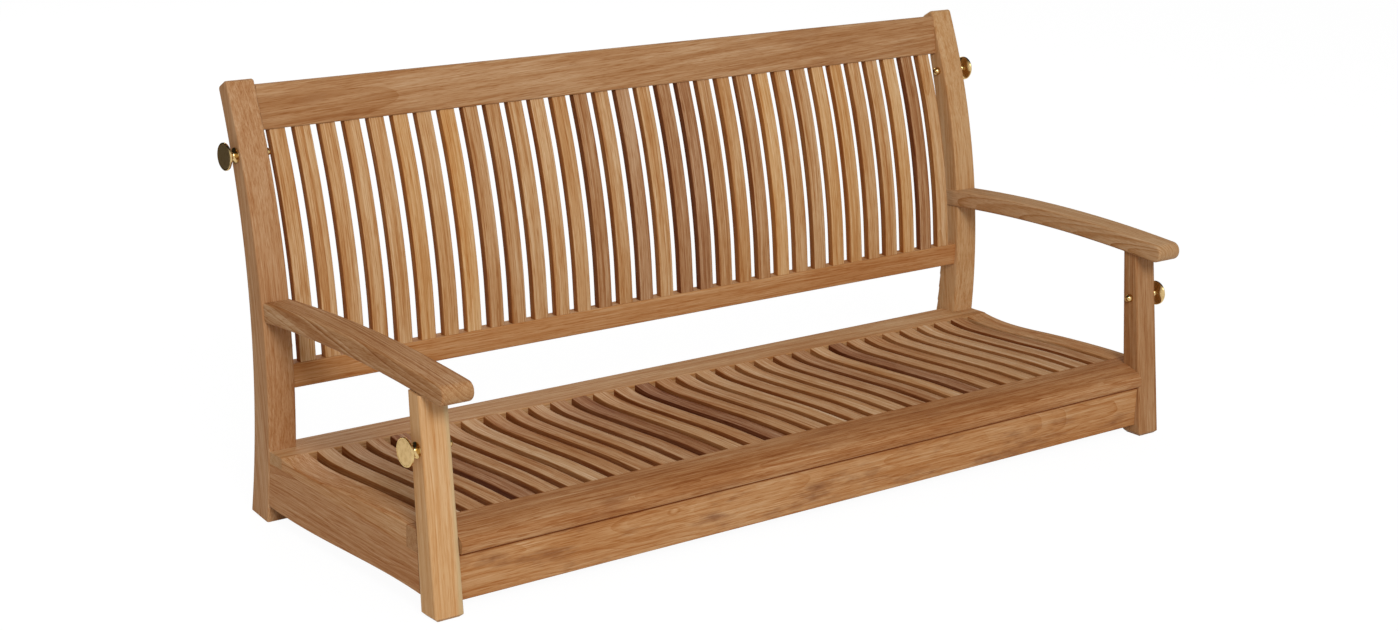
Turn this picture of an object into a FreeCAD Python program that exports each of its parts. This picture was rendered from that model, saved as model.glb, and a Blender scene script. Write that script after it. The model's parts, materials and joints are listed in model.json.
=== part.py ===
"""A slatted swing bench seat in teak, with four turned brass bobbins for its hanging loops.

Millimetres. +X runs along the bench, +Y towards its back and +Z up. The bench stands on its
short feet, and the origin is on the floor, under the middle of its outer box.

Depths are first measured from a datum plane across the middle of the arms, where the arms are
highest. The whole bench is moved along Y at the end, so that the origin lies under its middle.
"""
import FreeCAD
import Part

import math
import os

from FreeCAD import Vector

# Whole bench
bench_width = 1520.0        # over the outer faces of the four posts
post_width = 48.0           # of each post, seen from the front
seat_inset = 1.0            # outer faces of the seat frame, in from those of the posts

# Rear posts: sawn curves of one radius, front and back
sweep_radius = 1240.0
rear_post_height = 680.0
rear_front_depth = 218.5    # foremost point of the front curve, behind the datum
rear_front_waist = 170.0    # its height
rear_back_depth = 265.5     # foremost point of the back curve
rear_back_waist = 210.0     # its height
rear_top_fall = 0.75        # of the top's end cut, as a share of one square across the post
rear_top_rounding = 6.0
post_edge_rounding = 3.0

# Front posts: straight, leaning back and thinner at the top
front_foot_front = -254.8
front_foot_depth = 41.2
front_lean = 0.1355         # of the front face, in depth for each unit of height
front_back_lean = 0.0987    # of the back face
foot_chamfer = 6.0
front_edge_rounding = 4.0

# Arms: bowed boards over the front posts, against the front of the rear posts
arm_radius = 2900.0
arm_top_height = 362.5      # at the datum
arm_thickness = 31.0
arm_overhang = 16.2         # in front of the foot of the front posts
arm_outer_inset = 2.5
arm_rear_width = 48.5
arm_front_width = 52.5
arm_nose_rounding = 15.0
arm_edge_rounding = 4.0

# Back
top_rail_drop = 9.0         # its top below that of the rear posts, before it leans back
top_rail_height = 70.0
top_rail_thickness = 22.0
top_rail_inset = 14.2       # its lower front edge, behind the front of the posts
top_rail_lean = 10.7        # degrees back from upright
lower_rail_bottom = 211.0
lower_rail_height = 39.0
lower_rail_thickness = 25.0
lower_rail_inset = 8.8
rail_rounding = 2.5
top_rail_rounding = 5.0
slat_count = 32
back_slat_width = 28.0
back_slat_thickness = 13.0
back_slat_inset = 7.0       # foremost point of the slats' curve, behind that of the posts
back_slat_waist_drop = 28.0 # the same point, below that of the posts
slat_bevel = 1.2            # on the long edges of every slat

# Seat
nosing_top = 124.5
nosing_thickness = 33.5
nosing_inset = 7.3          # foremost line, behind the foot of the front posts
nosing_depth = 72.5
nosing_fall = 52.0          # from the foremost line back to the flat top
nosing_lip = 9.5            # height of the foremost line above the underside
nosing_tuck = 1.0           # lower front edge, behind the foremost line
rear_board_thickness = 19.0
rear_board_depth = 69.0
rear_board_inset = 13.5     # its back, in front of the foremost point of the posts' back
seat_rear_drop = 5.5        # top of the rear board, below that of the nosing
seat_hollow_depth = 135.0   # place of the lowest point of the dished seat
seat_hollow_drop = 10.7
seat_middle_depth = 20.0
seat_middle_drop = 6.2
seat_crown_depth = -85.0
seat_crown_drop = 0.9
seat_slat_width = 30.0
seat_slat_thickness = 15.0
end_board_rounding = 2.5

# Frame under the seat
front_apron_bottom = 18.0
front_apron_inset = 15.8    # behind the foot of the front posts
front_apron_thickness = 24.0
apron_top_rounding = 0.5
rear_apron_bottom = 30.0
rear_apron_inset = 12.5     # behind the foremost point of the rear posts
rear_apron_thickness = 22.0
side_rail_thickness = 24.0
side_rail_rear_bottom = 29.0
side_rail_hollow_depth = 75.0
side_rail_hollow_bottom = 26.0
side_rail_crown_bottom = 31.5
side_rail_front_drop = 1.0  # its front end, below the crown
bearer_width = 24.0
bearer_bottom = 38.0

# Joints between the wooden pieces
tenon_length = 25.0
tenon_thickness = 10.0
tenon_shoulder = 6.0
arm_tenon_shoulder = 7.8    # above and below the tenons at the back of the arms
joint_clearance = 0.1
end_clearance = 1.0
tongue_length = 12.0
tongue_thickness = 7.0
tongue_shoulder = 4.0
peg_radius = 4.0
peg_end = 8.0              # of wood left beyond a peg
dowel_length = 24.0
dowel_places = (-0.75, -0.25, 0.25, 0.75)   # along the aprons, as shares of half their length
peg_clearance = 0.05

# Brass bobbins on bolts through the posts
front_bobbin_drop = 118.0   # below the top of the arms
rear_bobbin_drop = 111.0    # below the top of the rear posts
bobbin_length = 20.0
disc_radius = 21.4
rim_thickness = 2.6
rim_chamfer = 0.6
waist_radius = 6.0
waist_place = 7.5           # from the face of the post
base_radius = 12.0
base_land = 1.2
recess_radius = 19.2
recess_depth = 1.6
cap_edge = 0.3              # bevel round the cap
head_edge = 0.8             # bevel round the bolt's head
bolt_radius = 4.0
bolt_head_radius = 6.8
bolt_head_height = 3.2
running_clearance = 0.05
side_clearance = 0.3
head_clearance = 0.8
bolt_hole_clearance = 0.15
nut_radius = 7.0
nut_collar = 3.5
nut_tip_radius = 1.0        # of the small flat on the dome
nut_thread_length = 7.0

# Worked out from the sizes above
half_width = bench_width / 2.0
inner_face = half_width - post_width
seat_side = half_width - seat_inset
slat_gap = (2.0 * inner_face - slat_count * back_slat_width) / (slat_count + 1)
slat_pitch = slat_gap + back_slat_width
lower_rail_top = lower_rail_bottom + lower_rail_height
top_rail_bottom = rear_post_height - top_rail_drop - top_rail_height
back_slat_depth = rear_front_depth + back_slat_inset
back_slat_waist = rear_front_waist - back_slat_waist_drop
arm_front_depth = front_foot_front - arm_overhang
nosing_underside = nosing_top - nosing_thickness
nosing_front = front_foot_front + nosing_inset
nosing_back = nosing_front + nosing_depth
nosing_fall_start = nosing_front + nosing_fall
seat_rear_top = nosing_top - seat_rear_drop
rear_board_underside = seat_rear_top - rear_board_thickness
rear_board_back = rear_back_depth - rear_board_inset
rear_board_front = rear_board_back - rear_board_depth
front_apron_front = front_foot_front + front_apron_inset
rear_apron_front = rear_front_depth + rear_apron_inset
front_bobbin_height = arm_top_height - front_bobbin_drop
rear_bobbin_height = rear_post_height - rear_bobbin_drop


def bow(distance, radius):
    """Return how far a circle of this radius falls away at a distance from its crown."""
    return radius - math.sqrt(radius * radius - distance * distance)


def rear_front_y(z):
    """Return the depth of the rear posts' front face at a height."""
    return rear_front_depth + bow(z - rear_front_waist, sweep_radius)


def rear_back_y(z):
    """Return the depth of the rear posts' back face at a height."""
    return rear_back_depth + bow(z - rear_back_waist, sweep_radius)


def front_face_y(z):
    """Return the depth of the front posts' front face at a height."""
    return front_foot_front + front_lean * z


def front_back_y(z):
    """Return the depth of the front posts' back face at a height."""
    return front_foot_front + front_foot_depth + front_back_lean * z


def arm_top_z(y):
    """Return the height of the arms' top at a depth."""
    return arm_top_height - bow(y, arm_radius)


def arm_under_z(y):
    """Return the height of the arms' underside at a depth."""
    return arm_top_z(y) - arm_thickness


def at(y, z, x=0.0):
    """Return a point given by its depth and height."""
    return Vector(x, y, z)


def line(start, end):
    """Return a straight edge."""
    return Part.LineSegment(start, end).toShape()


def arc(start, middle, end):
    """Return an arc through three points."""
    return Part.Arc(start, middle, end).toShape()


def curve(points):
    """Return a smooth curve through points."""
    spline = Part.BSplineCurve()
    spline.interpolate(points)
    return spline.toShape()


def outline(points):
    """Return the straight edges between successive points."""
    return [line(first, second) for first, second in zip(points, points[1:])]


def prism(edges, low, high):
    """Return the solid of a side outline, from one X to another."""
    face = Part.Face(Part.Wire(edges))
    face.translate(Vector(low, 0.0, 0.0))
    return face.extrude(Vector(high - low, 0.0, 0.0))


def block(x, y, z):
    """Return a box from three pairs of low and high limits."""
    size = (x[1] - x[0], y[1] - y[0], z[1] - z[0])
    return Part.makeBox(*size, Vector(x[0], y[0], z[0]))


def grown(limits, clearance):
    """Return a pair of limits, wider by a clearance at both ends."""
    return (limits[0] - clearance, limits[1] + clearance)


def rounded(solid, radius, choose):
    """Return a solid with the chosen edges rounded."""
    edges = [edge for edge in solid.Edges if choose(edge)]
    return solid.makeFillet(radius, edges)


def bevelled(solid, size, choose):
    """Return a solid with the chosen edges bevelled."""
    edges = [edge for edge in solid.Edges if choose(edge)]
    return solid.makeChamfer(size, edges)


def middle_of(edge):
    """Return the point halfway along an edge."""
    return edge.valueAt((edge.FirstParameter + edge.LastParameter) / 2.0)


def runs_along_x(edge):
    """Tell whether an edge is parallel to X."""
    start = edge.Vertexes[0].Point
    end = edge.Vertexes[-1].Point
    return abs(end.x - start.x) > 0.999 * edge.Length


def keeps_x(edge):
    """Tell whether an edge lies in a plane across X."""
    box = edge.BoundBox
    return box.XLength < 0.01


def mirrored(solid):
    """Return a solid's mirror image on the other side of the bench."""
    return solid.mirror(Vector(0.0, 0.0, 0.0), Vector(1.0, 0.0, 0.0))


def joined(solids):
    """Return solids as one group."""
    return Part.makeCompound(solids)


def fused(solid, *others):
    """Return one solid of several that touch."""
    return solid.fuse(list(others)).removeSplitter()


# Joints cut into the posts and rails


def rail_tenon_limits(depth_limits, height_limits):
    """Return the depth and height limits of a tenon on a rail of these limits."""
    depth_middle = sum(depth_limits) / 2.0
    depth = (depth_middle - tenon_thickness / 2.0, depth_middle + tenon_thickness / 2.0)
    height = (height_limits[0] + tenon_shoulder, height_limits[1] - tenon_shoulder)
    return depth, height


def left_tenon(depth, height):
    """Return the tenon that a rail between the posts puts into a left post."""
    return block((-inner_face - tenon_length, -inner_face), depth, height)


def left_mortise(depth, height):
    """Return the room for such a tenon."""
    x = (-inner_face - tenon_length - end_clearance, -inner_face + end_clearance)
    return block(x, grown(depth, joint_clearance), grown(height, joint_clearance))


def lower_rail_limits():
    """Return the lower back rail's depth and height limits."""
    front = rear_front_y(lower_rail_bottom) + lower_rail_inset
    return (front, front + lower_rail_thickness), (lower_rail_bottom, lower_rail_top)


def front_apron_tenon():
    """Return the limits of the front apron's tenons."""
    depth = (front_apron_front, front_apron_front + front_apron_thickness)
    return rail_tenon_limits(depth, (front_apron_bottom, nosing_underside))


def rear_apron_tenon():
    """Return the limits of the rear apron's tenons."""
    depth = (rear_apron_front, rear_apron_front + rear_apron_thickness)
    return rail_tenon_limits(depth, (rear_apron_bottom, rear_board_underside))


def top_rail_front():
    """Return the depth of the top rail's lower front edge."""
    return rear_front_y(top_rail_bottom) + top_rail_inset


def tilted(solid):
    """Return a solid leaned back with the top rail, about its lower front edge."""
    turned = solid.copy()
    corner = at(top_rail_front(), top_rail_bottom)
    turned.rotate(corner, Vector(1.0, 0.0, 0.0), -top_rail_lean)
    return turned


def top_rail_limits():
    """Return the top rail's depth and height limits before it is leaned back."""
    depth = (top_rail_front(), top_rail_front() + top_rail_thickness)
    return depth, (top_rail_bottom, top_rail_bottom + top_rail_height)


def side_tenon_x():
    """Return the X limits of the left side rail's tenons."""
    middle = -seat_side + side_rail_thickness / 2.0
    return (middle - tenon_thickness / 2.0, middle + tenon_thickness / 2.0)


def side_tenon_z():
    """Return the height limits of the side rails' tenons."""
    low = max(side_rail_rear_bottom, side_rail_crown_bottom) + tenon_shoulder
    return (low, nosing_underside - tenon_shoulder)


def side_tenon_front_y():
    """Return the depth limits of the side rails' front tenons."""
    height = sum(side_tenon_z()) / 2.0
    face = front_back_y(height)
    return (face - tenon_length, face + tenon_shoulder)


def side_tenon_rear_y():
    """Return the depth limits of the side rails' rear tenons."""
    height = sum(side_tenon_z()) / 2.0
    face = rear_front_y(height)
    return (face - tenon_shoulder, face + tenon_length)


def side_mortise(depth, front):
    """Return the room in a left post for a side rail's tenon, open towards the rail."""
    if front:
        room = (depth[0] - end_clearance, depth[1] + tenon_length)
    else:
        room = (depth[0] - tenon_length, depth[1] + end_clearance)
    x = grown(side_tenon_x(), joint_clearance)
    return block(x, room, grown(side_tenon_z(), joint_clearance))


def arm_rear_tenon():
    """Return the tenon of the left arm, which goes into the rear post."""
    y = rear_front_y(arm_top_height)
    z = arm_under_z(y)
    middle = -half_width + arm_outer_inset + arm_rear_width / 2.0
    x = (middle - arm_rear_width / 2.0 + tenon_shoulder, middle + arm_rear_width / 2.0 - tenon_shoulder)
    height = (z + arm_tenon_shoulder, z + arm_thickness - arm_tenon_shoulder)
    return x, (y - tenon_length, y + tenon_length - tenon_shoulder), height


def arm_post_tenon():
    """Return the limits of the tenon on the left front post, which goes up into the arm."""
    top = arm_under_z(front_face_y(arm_top_height))
    x_middle = -half_width + post_width / 2.0
    y_middle = (front_face_y(top) + front_back_y(top)) / 2.0
    half_thickness = tenon_thickness / 2.0
    x = (x_middle - post_width / 2.0 + 2.0 * tenon_shoulder, x_middle + post_width / 2.0 - 2.0 * tenon_shoulder)
    y = (y_middle - half_thickness, y_middle + half_thickness)
    return x, y, (top - tenon_shoulder, top + arm_thickness / 2.0)


# Pegs and dowels


def peg_heights():
    """Return the heights of the pegs in a rear post, with the depth limits of each tenon."""
    lean = math.radians(top_rail_lean)
    rise = top_rail_height / 2.0
    top_middle = top_rail_bottom + rise * math.cos(lean)
    lower_middle = (lower_rail_bottom + lower_rail_top) / 2.0
    apron_middle = (rear_apron_bottom + rear_board_underside) / 2.0
    return [top_middle, lower_middle, apron_middle]


def peg(z, front, back, radius):
    """Return a round peg through a left post's tenon, from front to back and past the back."""
    x = -inner_face - tenon_length / 2.0
    length = back - front - peg_end + peg_radius
    return Part.makeCylinder(radius, length, Vector(x, front + peg_end, z), Vector(0.0, 1.0, 0.0))


def rear_pegs(radius):
    """Return the pegs through the left rear post's tenons, driven from behind."""
    return [peg(z, rear_front_y(z), rear_back_y(z), radius) for z in peg_heights()]


def front_peg(radius):
    """Return the peg through the front apron's left tenon, driven from behind."""
    z = (front_apron_bottom + nosing_underside) / 2.0
    return peg(z, front_face_y(z), front_back_y(z), radius)


def trimmed_pegs():
    """Return the left posts' pegs, flush with the posts' back faces."""
    post = front_post_blank(-half_width, -inner_face, arm_top_height)
    pegs = [solid.common(rear_post_blank()) for solid in rear_pegs(peg_radius)]
    return pegs + [front_peg(peg_radius).common(post)]


def dowel(x, y, z, radius):
    """Return an upright dowel with its middle at a height."""
    return Part.makeCylinder(radius, dowel_length, Vector(x, y, z - dowel_length / 2.0))


def side_rail_top_z(y):
    """Return the height of the side rails' top edge at a depth."""
    share = (y - nosing_back) / (rear_board_front - nosing_back)
    rise = rear_board_underside - nosing_underside
    return nosing_underside + rise * min(max(share, 0.0), 1.0)


def dowels(radius):
    """Return the dowels between the seat boards and the frame under them."""
    side_x = seat_side - side_rail_thickness / 2.0
    along_y = [seat_crown_depth, seat_middle_depth, seat_hollow_depth]
    front_y = front_apron_front + front_apron_thickness / 2.0
    rear_y = rear_apron_front + rear_apron_thickness / 2.0
    along_x = [place * inner_face for place in dowel_places]
    found = []
    for side in (-1.0, 1.0):
        found += [dowel(side * side_x, y, side_rail_top_z(y) - tongue_shoulder, radius) for y in along_y]
    found += [dowel(x, front_y, nosing_underside, radius) for x in along_x]
    found += [dowel(x, rear_y, rear_board_underside - tongue_shoulder, radius) for x in along_x]
    return found


# Bolts


def rear_bolt_y():
    """Return the depth of the rear bolts, midway through the posts."""
    return (rear_front_y(rear_bobbin_height) + rear_back_y(rear_bobbin_height)) / 2.0


def front_bolt_y():
    """Return the depth of the front bolts, midway through the posts."""
    return (front_face_y(front_bobbin_height) + front_back_y(front_bobbin_height)) / 2.0


def bolt_hole(y, z):
    """Return the hole through a left post for a bolt."""
    radius = bolt_radius + bolt_hole_clearance
    start = Vector(-half_width - 1.0, y, z)
    return Part.makeCylinder(radius, post_width + 2.0, start, Vector(1.0, 0.0, 0.0))


# Posts


def rear_post_blank(clearance=0.0):
    """Return the left rear post, square-edged, grown by a clearance at its front."""
    top = rear_post_height
    top_y = rear_front_y(top)
    top_slope = math.asin((top - rear_front_waist) / sweep_radius)
    foot_slope = math.asin(rear_front_waist / sweep_radius)
    depth = rear_back_depth - rear_front_depth
    back_top = top - rear_top_fall * depth * math.sin(top_slope)
    foot_back = depth * math.sin(foot_slope)
    half = top / 2.0
    front_foot = at(rear_front_y(0.0) - clearance, 0.0)
    front_top = at(top_y - clearance, top)
    rear_top = at(rear_back_y(back_top), back_top)
    rear_foot = at(rear_back_y(foot_back), foot_back)
    edges = [
        arc(front_foot, at(rear_front_y(half) - clearance, half), front_top),
        line(front_top, rear_top),
        arc(rear_top, at(rear_back_y(half), half), rear_foot),
        line(rear_foot, front_foot),
    ]
    return prism(edges, -half_width, -inner_face + clearance)


def rear_post():
    """Return the left rear post with its mortises and bolt hole."""
    solid = rear_post_blank()
    near_top = rear_post_height - 0.9 * (rear_back_depth - rear_front_depth)
    solid = rounded(solid, rear_top_rounding, lambda edge: runs_along_x(edge) and middle_of(edge).z > near_top)
    solid = rounded(solid, post_edge_rounding, lambda edge: keeps_x(edge) and middle_of(edge).z > post_width)
    rooms = [tilted(left_mortise(*rail_tenon_limits(*top_rail_limits())))]
    rooms.append(left_mortise(*rail_tenon_limits(*lower_rail_limits())))
    rooms.append(left_mortise(*rear_apron_tenon()))
    rooms.append(side_mortise(side_tenon_rear_y(), False))
    x, y, z = arm_rear_tenon()
    rooms.append(block(grown(x, joint_clearance), grown(y, end_clearance), grown(z, joint_clearance)))
    rooms.append(bolt_hole(rear_bolt_y(), rear_bobbin_height))
    rooms += rear_pegs(peg_radius + peg_clearance)
    return solid.cut(rooms)


def front_post_blank(width_low, width_high, top):
    """Return a front post's square-edged solid between two X, up to a height."""
    points = [
        at(front_face_y(0.0), 0.0),
        at(front_face_y(top), top),
        at(front_back_y(top), top),
        at(front_back_y(0.0), 0.0),
        at(front_face_y(0.0), 0.0),
    ]
    return prism(outline(points), width_low, width_high)


def foot_wedge(start, end):
    """Return the wedge that bevels the foot along one lower edge, with the foot on its left."""
    along = end - start
    out = along.cross(Vector(0.0, 0.0, 1.0)).normalize()
    up = Vector(0.0, 0.0, foot_chamfer)
    inner = start - out * (2.0 * foot_chamfer) - up
    upper = start + out * foot_chamfer + up * 2.0
    lower = start + out * foot_chamfer - up
    face = Part.Face(Part.Wire(outline([inner, upper, lower, inner])))
    return face.extrude(along)


def foot_wedges():
    """Return the four wedges that bevel the left front post's foot."""
    x = (-half_width, -inner_face)
    y = (front_face_y(0.0), front_back_y(0.0))
    corners = [at(y[0], 0.0, x[0]), at(y[0], 0.0, x[1]), at(y[1], 0.0, x[1]), at(y[1], 0.0, x[0])]
    return [foot_wedge(start, end) for start, end in zip(corners, corners[1:] + corners[:1])]


def front_post():
    """Return the left front post with its tenon, mortises and bolt hole."""
    solid = front_post_blank(-half_width, -inner_face, arm_top_height)
    solid = rounded(solid, front_edge_rounding, lambda edge: keeps_x(edge) and edge.Length > 100.0)
    solid = solid.cut(foot_wedges())
    solid = solid.cut(arm_over(front_face_y(arm_top_height) - post_width, arm_top_height + post_width))
    x, y, z = arm_post_tenon()
    solid = fused(solid, block(x, y, z))
    rooms = [
        left_mortise(*front_apron_tenon()),
        side_mortise(side_tenon_front_y(), True),
        bolt_hole(front_bolt_y(), front_bobbin_height),
        front_peg(peg_radius + peg_clearance),
    ]
    return solid.cut(rooms)


def arm_over(front, top):
    """Return all the room above the arms' underside, for trimming what stands under them."""
    rear = -front
    under = [
        arc(at(front, arm_under_z(front)), at(0.0, arm_under_z(0.0)), at(rear, arm_under_z(rear))),
        line(at(rear, arm_under_z(rear)), at(rear, top)),
        line(at(rear, top), at(front, top)),
        line(at(front, top), at(front, arm_under_z(front))),
    ]
    return prism(under, -half_width - 1.0, half_width + 1.0)


# Arms


def arm_blank(rear):
    """Return the left arm, square-edged and as long as its tenon, to a rear depth."""
    front = arm_front_depth
    lower_front = front + arm_thickness * math.sin(-front / arm_radius)
    outer = -half_width + arm_outer_inset
    edges = [
        arc(at(front, arm_top_z(front)), at(0.0, arm_top_z(0.0)), at(rear, arm_top_z(rear))),
        line(at(rear, arm_top_z(rear)), at(rear, arm_under_z(rear))),
        arc(at(rear, arm_under_z(rear)), at(0.0, arm_under_z(0.0)), at(lower_front, arm_under_z(lower_front))),
        line(at(lower_front, arm_under_z(lower_front)), at(front, arm_top_z(front))),
    ]
    solid = prism(edges, outer, outer + arm_front_width)
    corners = [
        Vector(outer + arm_front_width, front, 0.0),
        Vector(outer + arm_front_width + 1.0, rear + 1.0, 0.0),
        Vector(outer + arm_rear_width, rear + 1.0, 0.0),
    ]
    taper = Part.Face(Part.Wire(outline(corners + corners[:1])))
    return solid.cut(taper.extrude(Vector(0.0, 0.0, 2.0 * arm_top_height)))


def arm():
    """Return the left arm, with its tenon and the mortise for the front post."""
    rear = rear_front_y(arm_top_height) + tenon_length
    solid = arm_blank(rear)
    near_front = arm_front_depth + arm_thickness
    solid = rounded(solid, arm_nose_rounding, lambda edge: runs_along_x(edge) and middle_of(edge).y < near_front)

    def side_edge(edge):
        return not runs_along_x(edge) and middle_of(edge).y < rear - 1.0

    solid = rounded(solid, arm_edge_rounding, side_edge)
    solid = solid.cut(rear_post_blank())
    solid = max(solid.Solids, key=lambda piece: piece.Volume)
    solid = fused(solid, block(*arm_rear_tenon()))
    x, y, z = arm_post_tenon()
    room = block(grown(x, joint_clearance), grown(y, joint_clearance), (z[0], z[1] + end_clearance))
    return solid.cut(room)


# Back


def back_slat_strip(low, high, setback, thickness, x):
    """Return a curved strip between two heights, set back from the slats' front."""
    centre_y = back_slat_depth + sweep_radius
    front_radius = sweep_radius - setback
    back_radius = front_radius - thickness

    def on(radius, z):
        rise = z - back_slat_waist
        return at(centre_y - math.sqrt(radius * radius - rise * rise), z)

    half = (low + high) / 2.0
    edges = [
        arc(on(front_radius, low), on(front_radius, half), on(front_radius, high)),
        line(on(front_radius, high), on(back_radius, high)),
        arc(on(back_radius, high), on(back_radius, half), on(back_radius, low)),
        line(on(back_radius, low), on(front_radius, low)),
    ]
    return prism(edges, x[0], x[1])


def back_tongue(clearance=0.0, extra=0.0):
    """Return the thinner strip whose ends are a back slat's tongues."""
    setback = (back_slat_thickness - tongue_thickness) / 2.0
    half = back_slat_width / 2.0 - tongue_shoulder + clearance
    low = lower_rail_top - tongue_length - extra
    high = top_rail_bottom + tongue_length + extra
    thickness = tongue_thickness + 2.0 * clearance
    return back_slat_strip(low, high, setback - clearance, thickness, (-half, half))


def back_slat():
    """Return one back slat at the middle of the bench."""
    half = back_slat_width / 2.0
    low = lower_rail_bottom
    top = top_rail_bottom + tongue_length
    body = back_slat_strip(low, top, 0.0, back_slat_thickness, (-half, half))
    body = bevelled(body, slat_bevel, lambda edge: keeps_x(edge) and edge.Length > 100.0)
    depth = (-sweep_radius, sweep_radius)
    below = block((-back_slat_width, back_slat_width), depth, (0.0, lower_rail_top))
    body = body.cut([top_rail_blank(), below])
    return fused(body, back_tongue())


def top_rail_blank():
    """Return the top rail without its tenons or mortises."""
    depth, height = top_rail_limits()
    return tilted(block((-inner_face, inner_face), depth, height))


def slat_places():
    """Return the X of each slat's middle."""
    first = -(slat_count - 1) / 2.0 * slat_pitch
    return [first + slat_pitch * index for index in range(slat_count)]


def moved(solid, x):
    """Return a copy of a solid moved along the bench."""
    copy = solid.copy()
    copy.translate(Vector(x, 0.0, 0.0))
    return copy


def rail_between_posts(depth, height, top_rounding):
    """Return a rail between the posts, with both tenons and rounded long edges."""
    solid = block((-inner_face, inner_face), depth, height)
    top = height[1] - 0.1
    solid = rounded(solid, top_rounding, lambda edge: runs_along_x(edge) and middle_of(edge).z > top)
    solid = rounded(solid, rail_rounding, lambda edge: runs_along_x(edge) and middle_of(edge).z < height[0] + 0.1)
    tenon = left_tenon(*rail_tenon_limits(depth, height))
    return fused(solid, tenon, mirrored(tenon))


def top_rail():
    """Return the wide top rail, leaned back, with its slat mortises."""
    depth, height = top_rail_limits()
    solid = tilted(rail_between_posts(depth, height, top_rail_rounding))
    return solid.cut(back_mortises() + both_sides(rear_pegs(peg_radius + peg_clearance)))


def lower_back_rail():
    """Return the lower back rail with its slat mortises."""
    solid = rail_between_posts(*lower_rail_limits(), rail_rounding)
    return solid.cut(back_mortises() + both_sides(rear_pegs(peg_radius + peg_clearance)))


def back_mortises():
    """Return the room for every back slat's tongues."""
    room = back_tongue(joint_clearance, end_clearance)
    return [moved(room, x) for x in slat_places()]


def both_sides(solids):
    """Return solids and their mirror images."""
    return list(solids) + [mirrored(solid) for solid in solids]


# Seat


def seat_curve(front, rear, drop):
    """Return the dished line of the seat, lowered by a drop."""
    points = [
        at(front, nosing_top - drop),
        at(seat_crown_depth, nosing_top - seat_crown_drop - drop),
        at(seat_middle_depth, nosing_top - seat_middle_drop - drop),
        at(seat_hollow_depth, nosing_top - seat_hollow_drop - drop),
        at(rear, seat_rear_top - drop),
    ]
    return curve(points)


def seat_tongues(x, clearance=0.0, extra=0.0):
    """Return the two tongues of a seat slat of these X limits."""
    wide = grown(x, clearance - tongue_shoulder)
    found = []
    for face, top, way in ((nosing_back, nosing_top, -1.0), (rear_board_front, seat_rear_top, 1.0)):
        reach = sorted((face - way * extra, face + way * (tongue_length + extra)))
        middle = top - seat_slat_thickness / 2.0
        height = (middle - tongue_thickness / 2.0, middle + tongue_thickness / 2.0)
        found.append(block(wide, reach, grown(height, clearance)))
    return found


def seat_slat(x):
    """Return one seat slat of these X limits, with its tongues."""
    drop = seat_slat_thickness
    edges = [
        seat_curve(nosing_back, rear_board_front, 0.0),
        line(at(rear_board_front, seat_rear_top), at(rear_board_front, seat_rear_top - drop)),
        seat_curve(nosing_back, rear_board_front, drop),
        line(at(nosing_back, nosing_top - drop), at(nosing_back, nosing_top)),
    ]
    solid = prism(edges, x[0], x[1])
    solid = bevelled(solid, slat_bevel, lambda edge: keeps_x(edge) and edge.Length > 100.0)
    return fused(solid, *seat_tongues(x))


def end_board_x():
    """Return the X limits of the left end board of the seat."""
    return (-seat_side, -inner_face)


def end_board():
    """Return the left end board of the seat, dished on top and flat under it."""
    low, high = end_board_x()
    edges = [
        seat_curve(nosing_back, rear_board_front, 0.0),
        line(at(rear_board_front, seat_rear_top), at(rear_board_front, rear_board_underside)),
        line(at(rear_board_front, rear_board_underside), at(nosing_back, nosing_underside)),
        line(at(nosing_back, nosing_underside), at(nosing_back, nosing_top)),
    ]
    solid = prism(edges, low, high)
    upper = nosing_top - seat_hollow_drop - 1.0

    def top_edge(edge):
        return keeps_x(edge) and edge.Length > 100.0 and middle_of(edge).z > upper

    solid = rounded(solid, end_board_rounding, top_edge)
    solid = fused(solid, *seat_tongues((low, high)))
    return solid.cut(dowels(peg_radius + peg_clearance))


def seat_mortises():
    """Return the room for the tongues of every seat slat and of both end boards."""
    half = seat_slat_width / 2.0
    spans = [(x - half, x + half) for x in slat_places()]
    low, high = end_board_x()
    spans += [(low, high), (-high, -low)]
    rooms = []
    for span in spans:
        rooms += seat_tongues(span, joint_clearance, end_clearance)
    return rooms


def rear_seat_board():
    """Return the board along the back of the seat, notched round the rear posts."""
    height = (rear_board_underside, seat_rear_top)
    solid = block((-seat_side, seat_side), (rear_board_front, rear_board_back), height)
    solid = rounded(solid, rail_rounding, lambda edge: runs_along_x(edge) and middle_of(edge).z > height[0] + 1.0)
    posts = both_sides([rear_post_blank(joint_clearance)])
    solid = solid.cut(posts + seat_mortises() + dowels(peg_radius + peg_clearance))
    return max(solid.Solids, key=lambda piece: piece.Volume)


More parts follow.
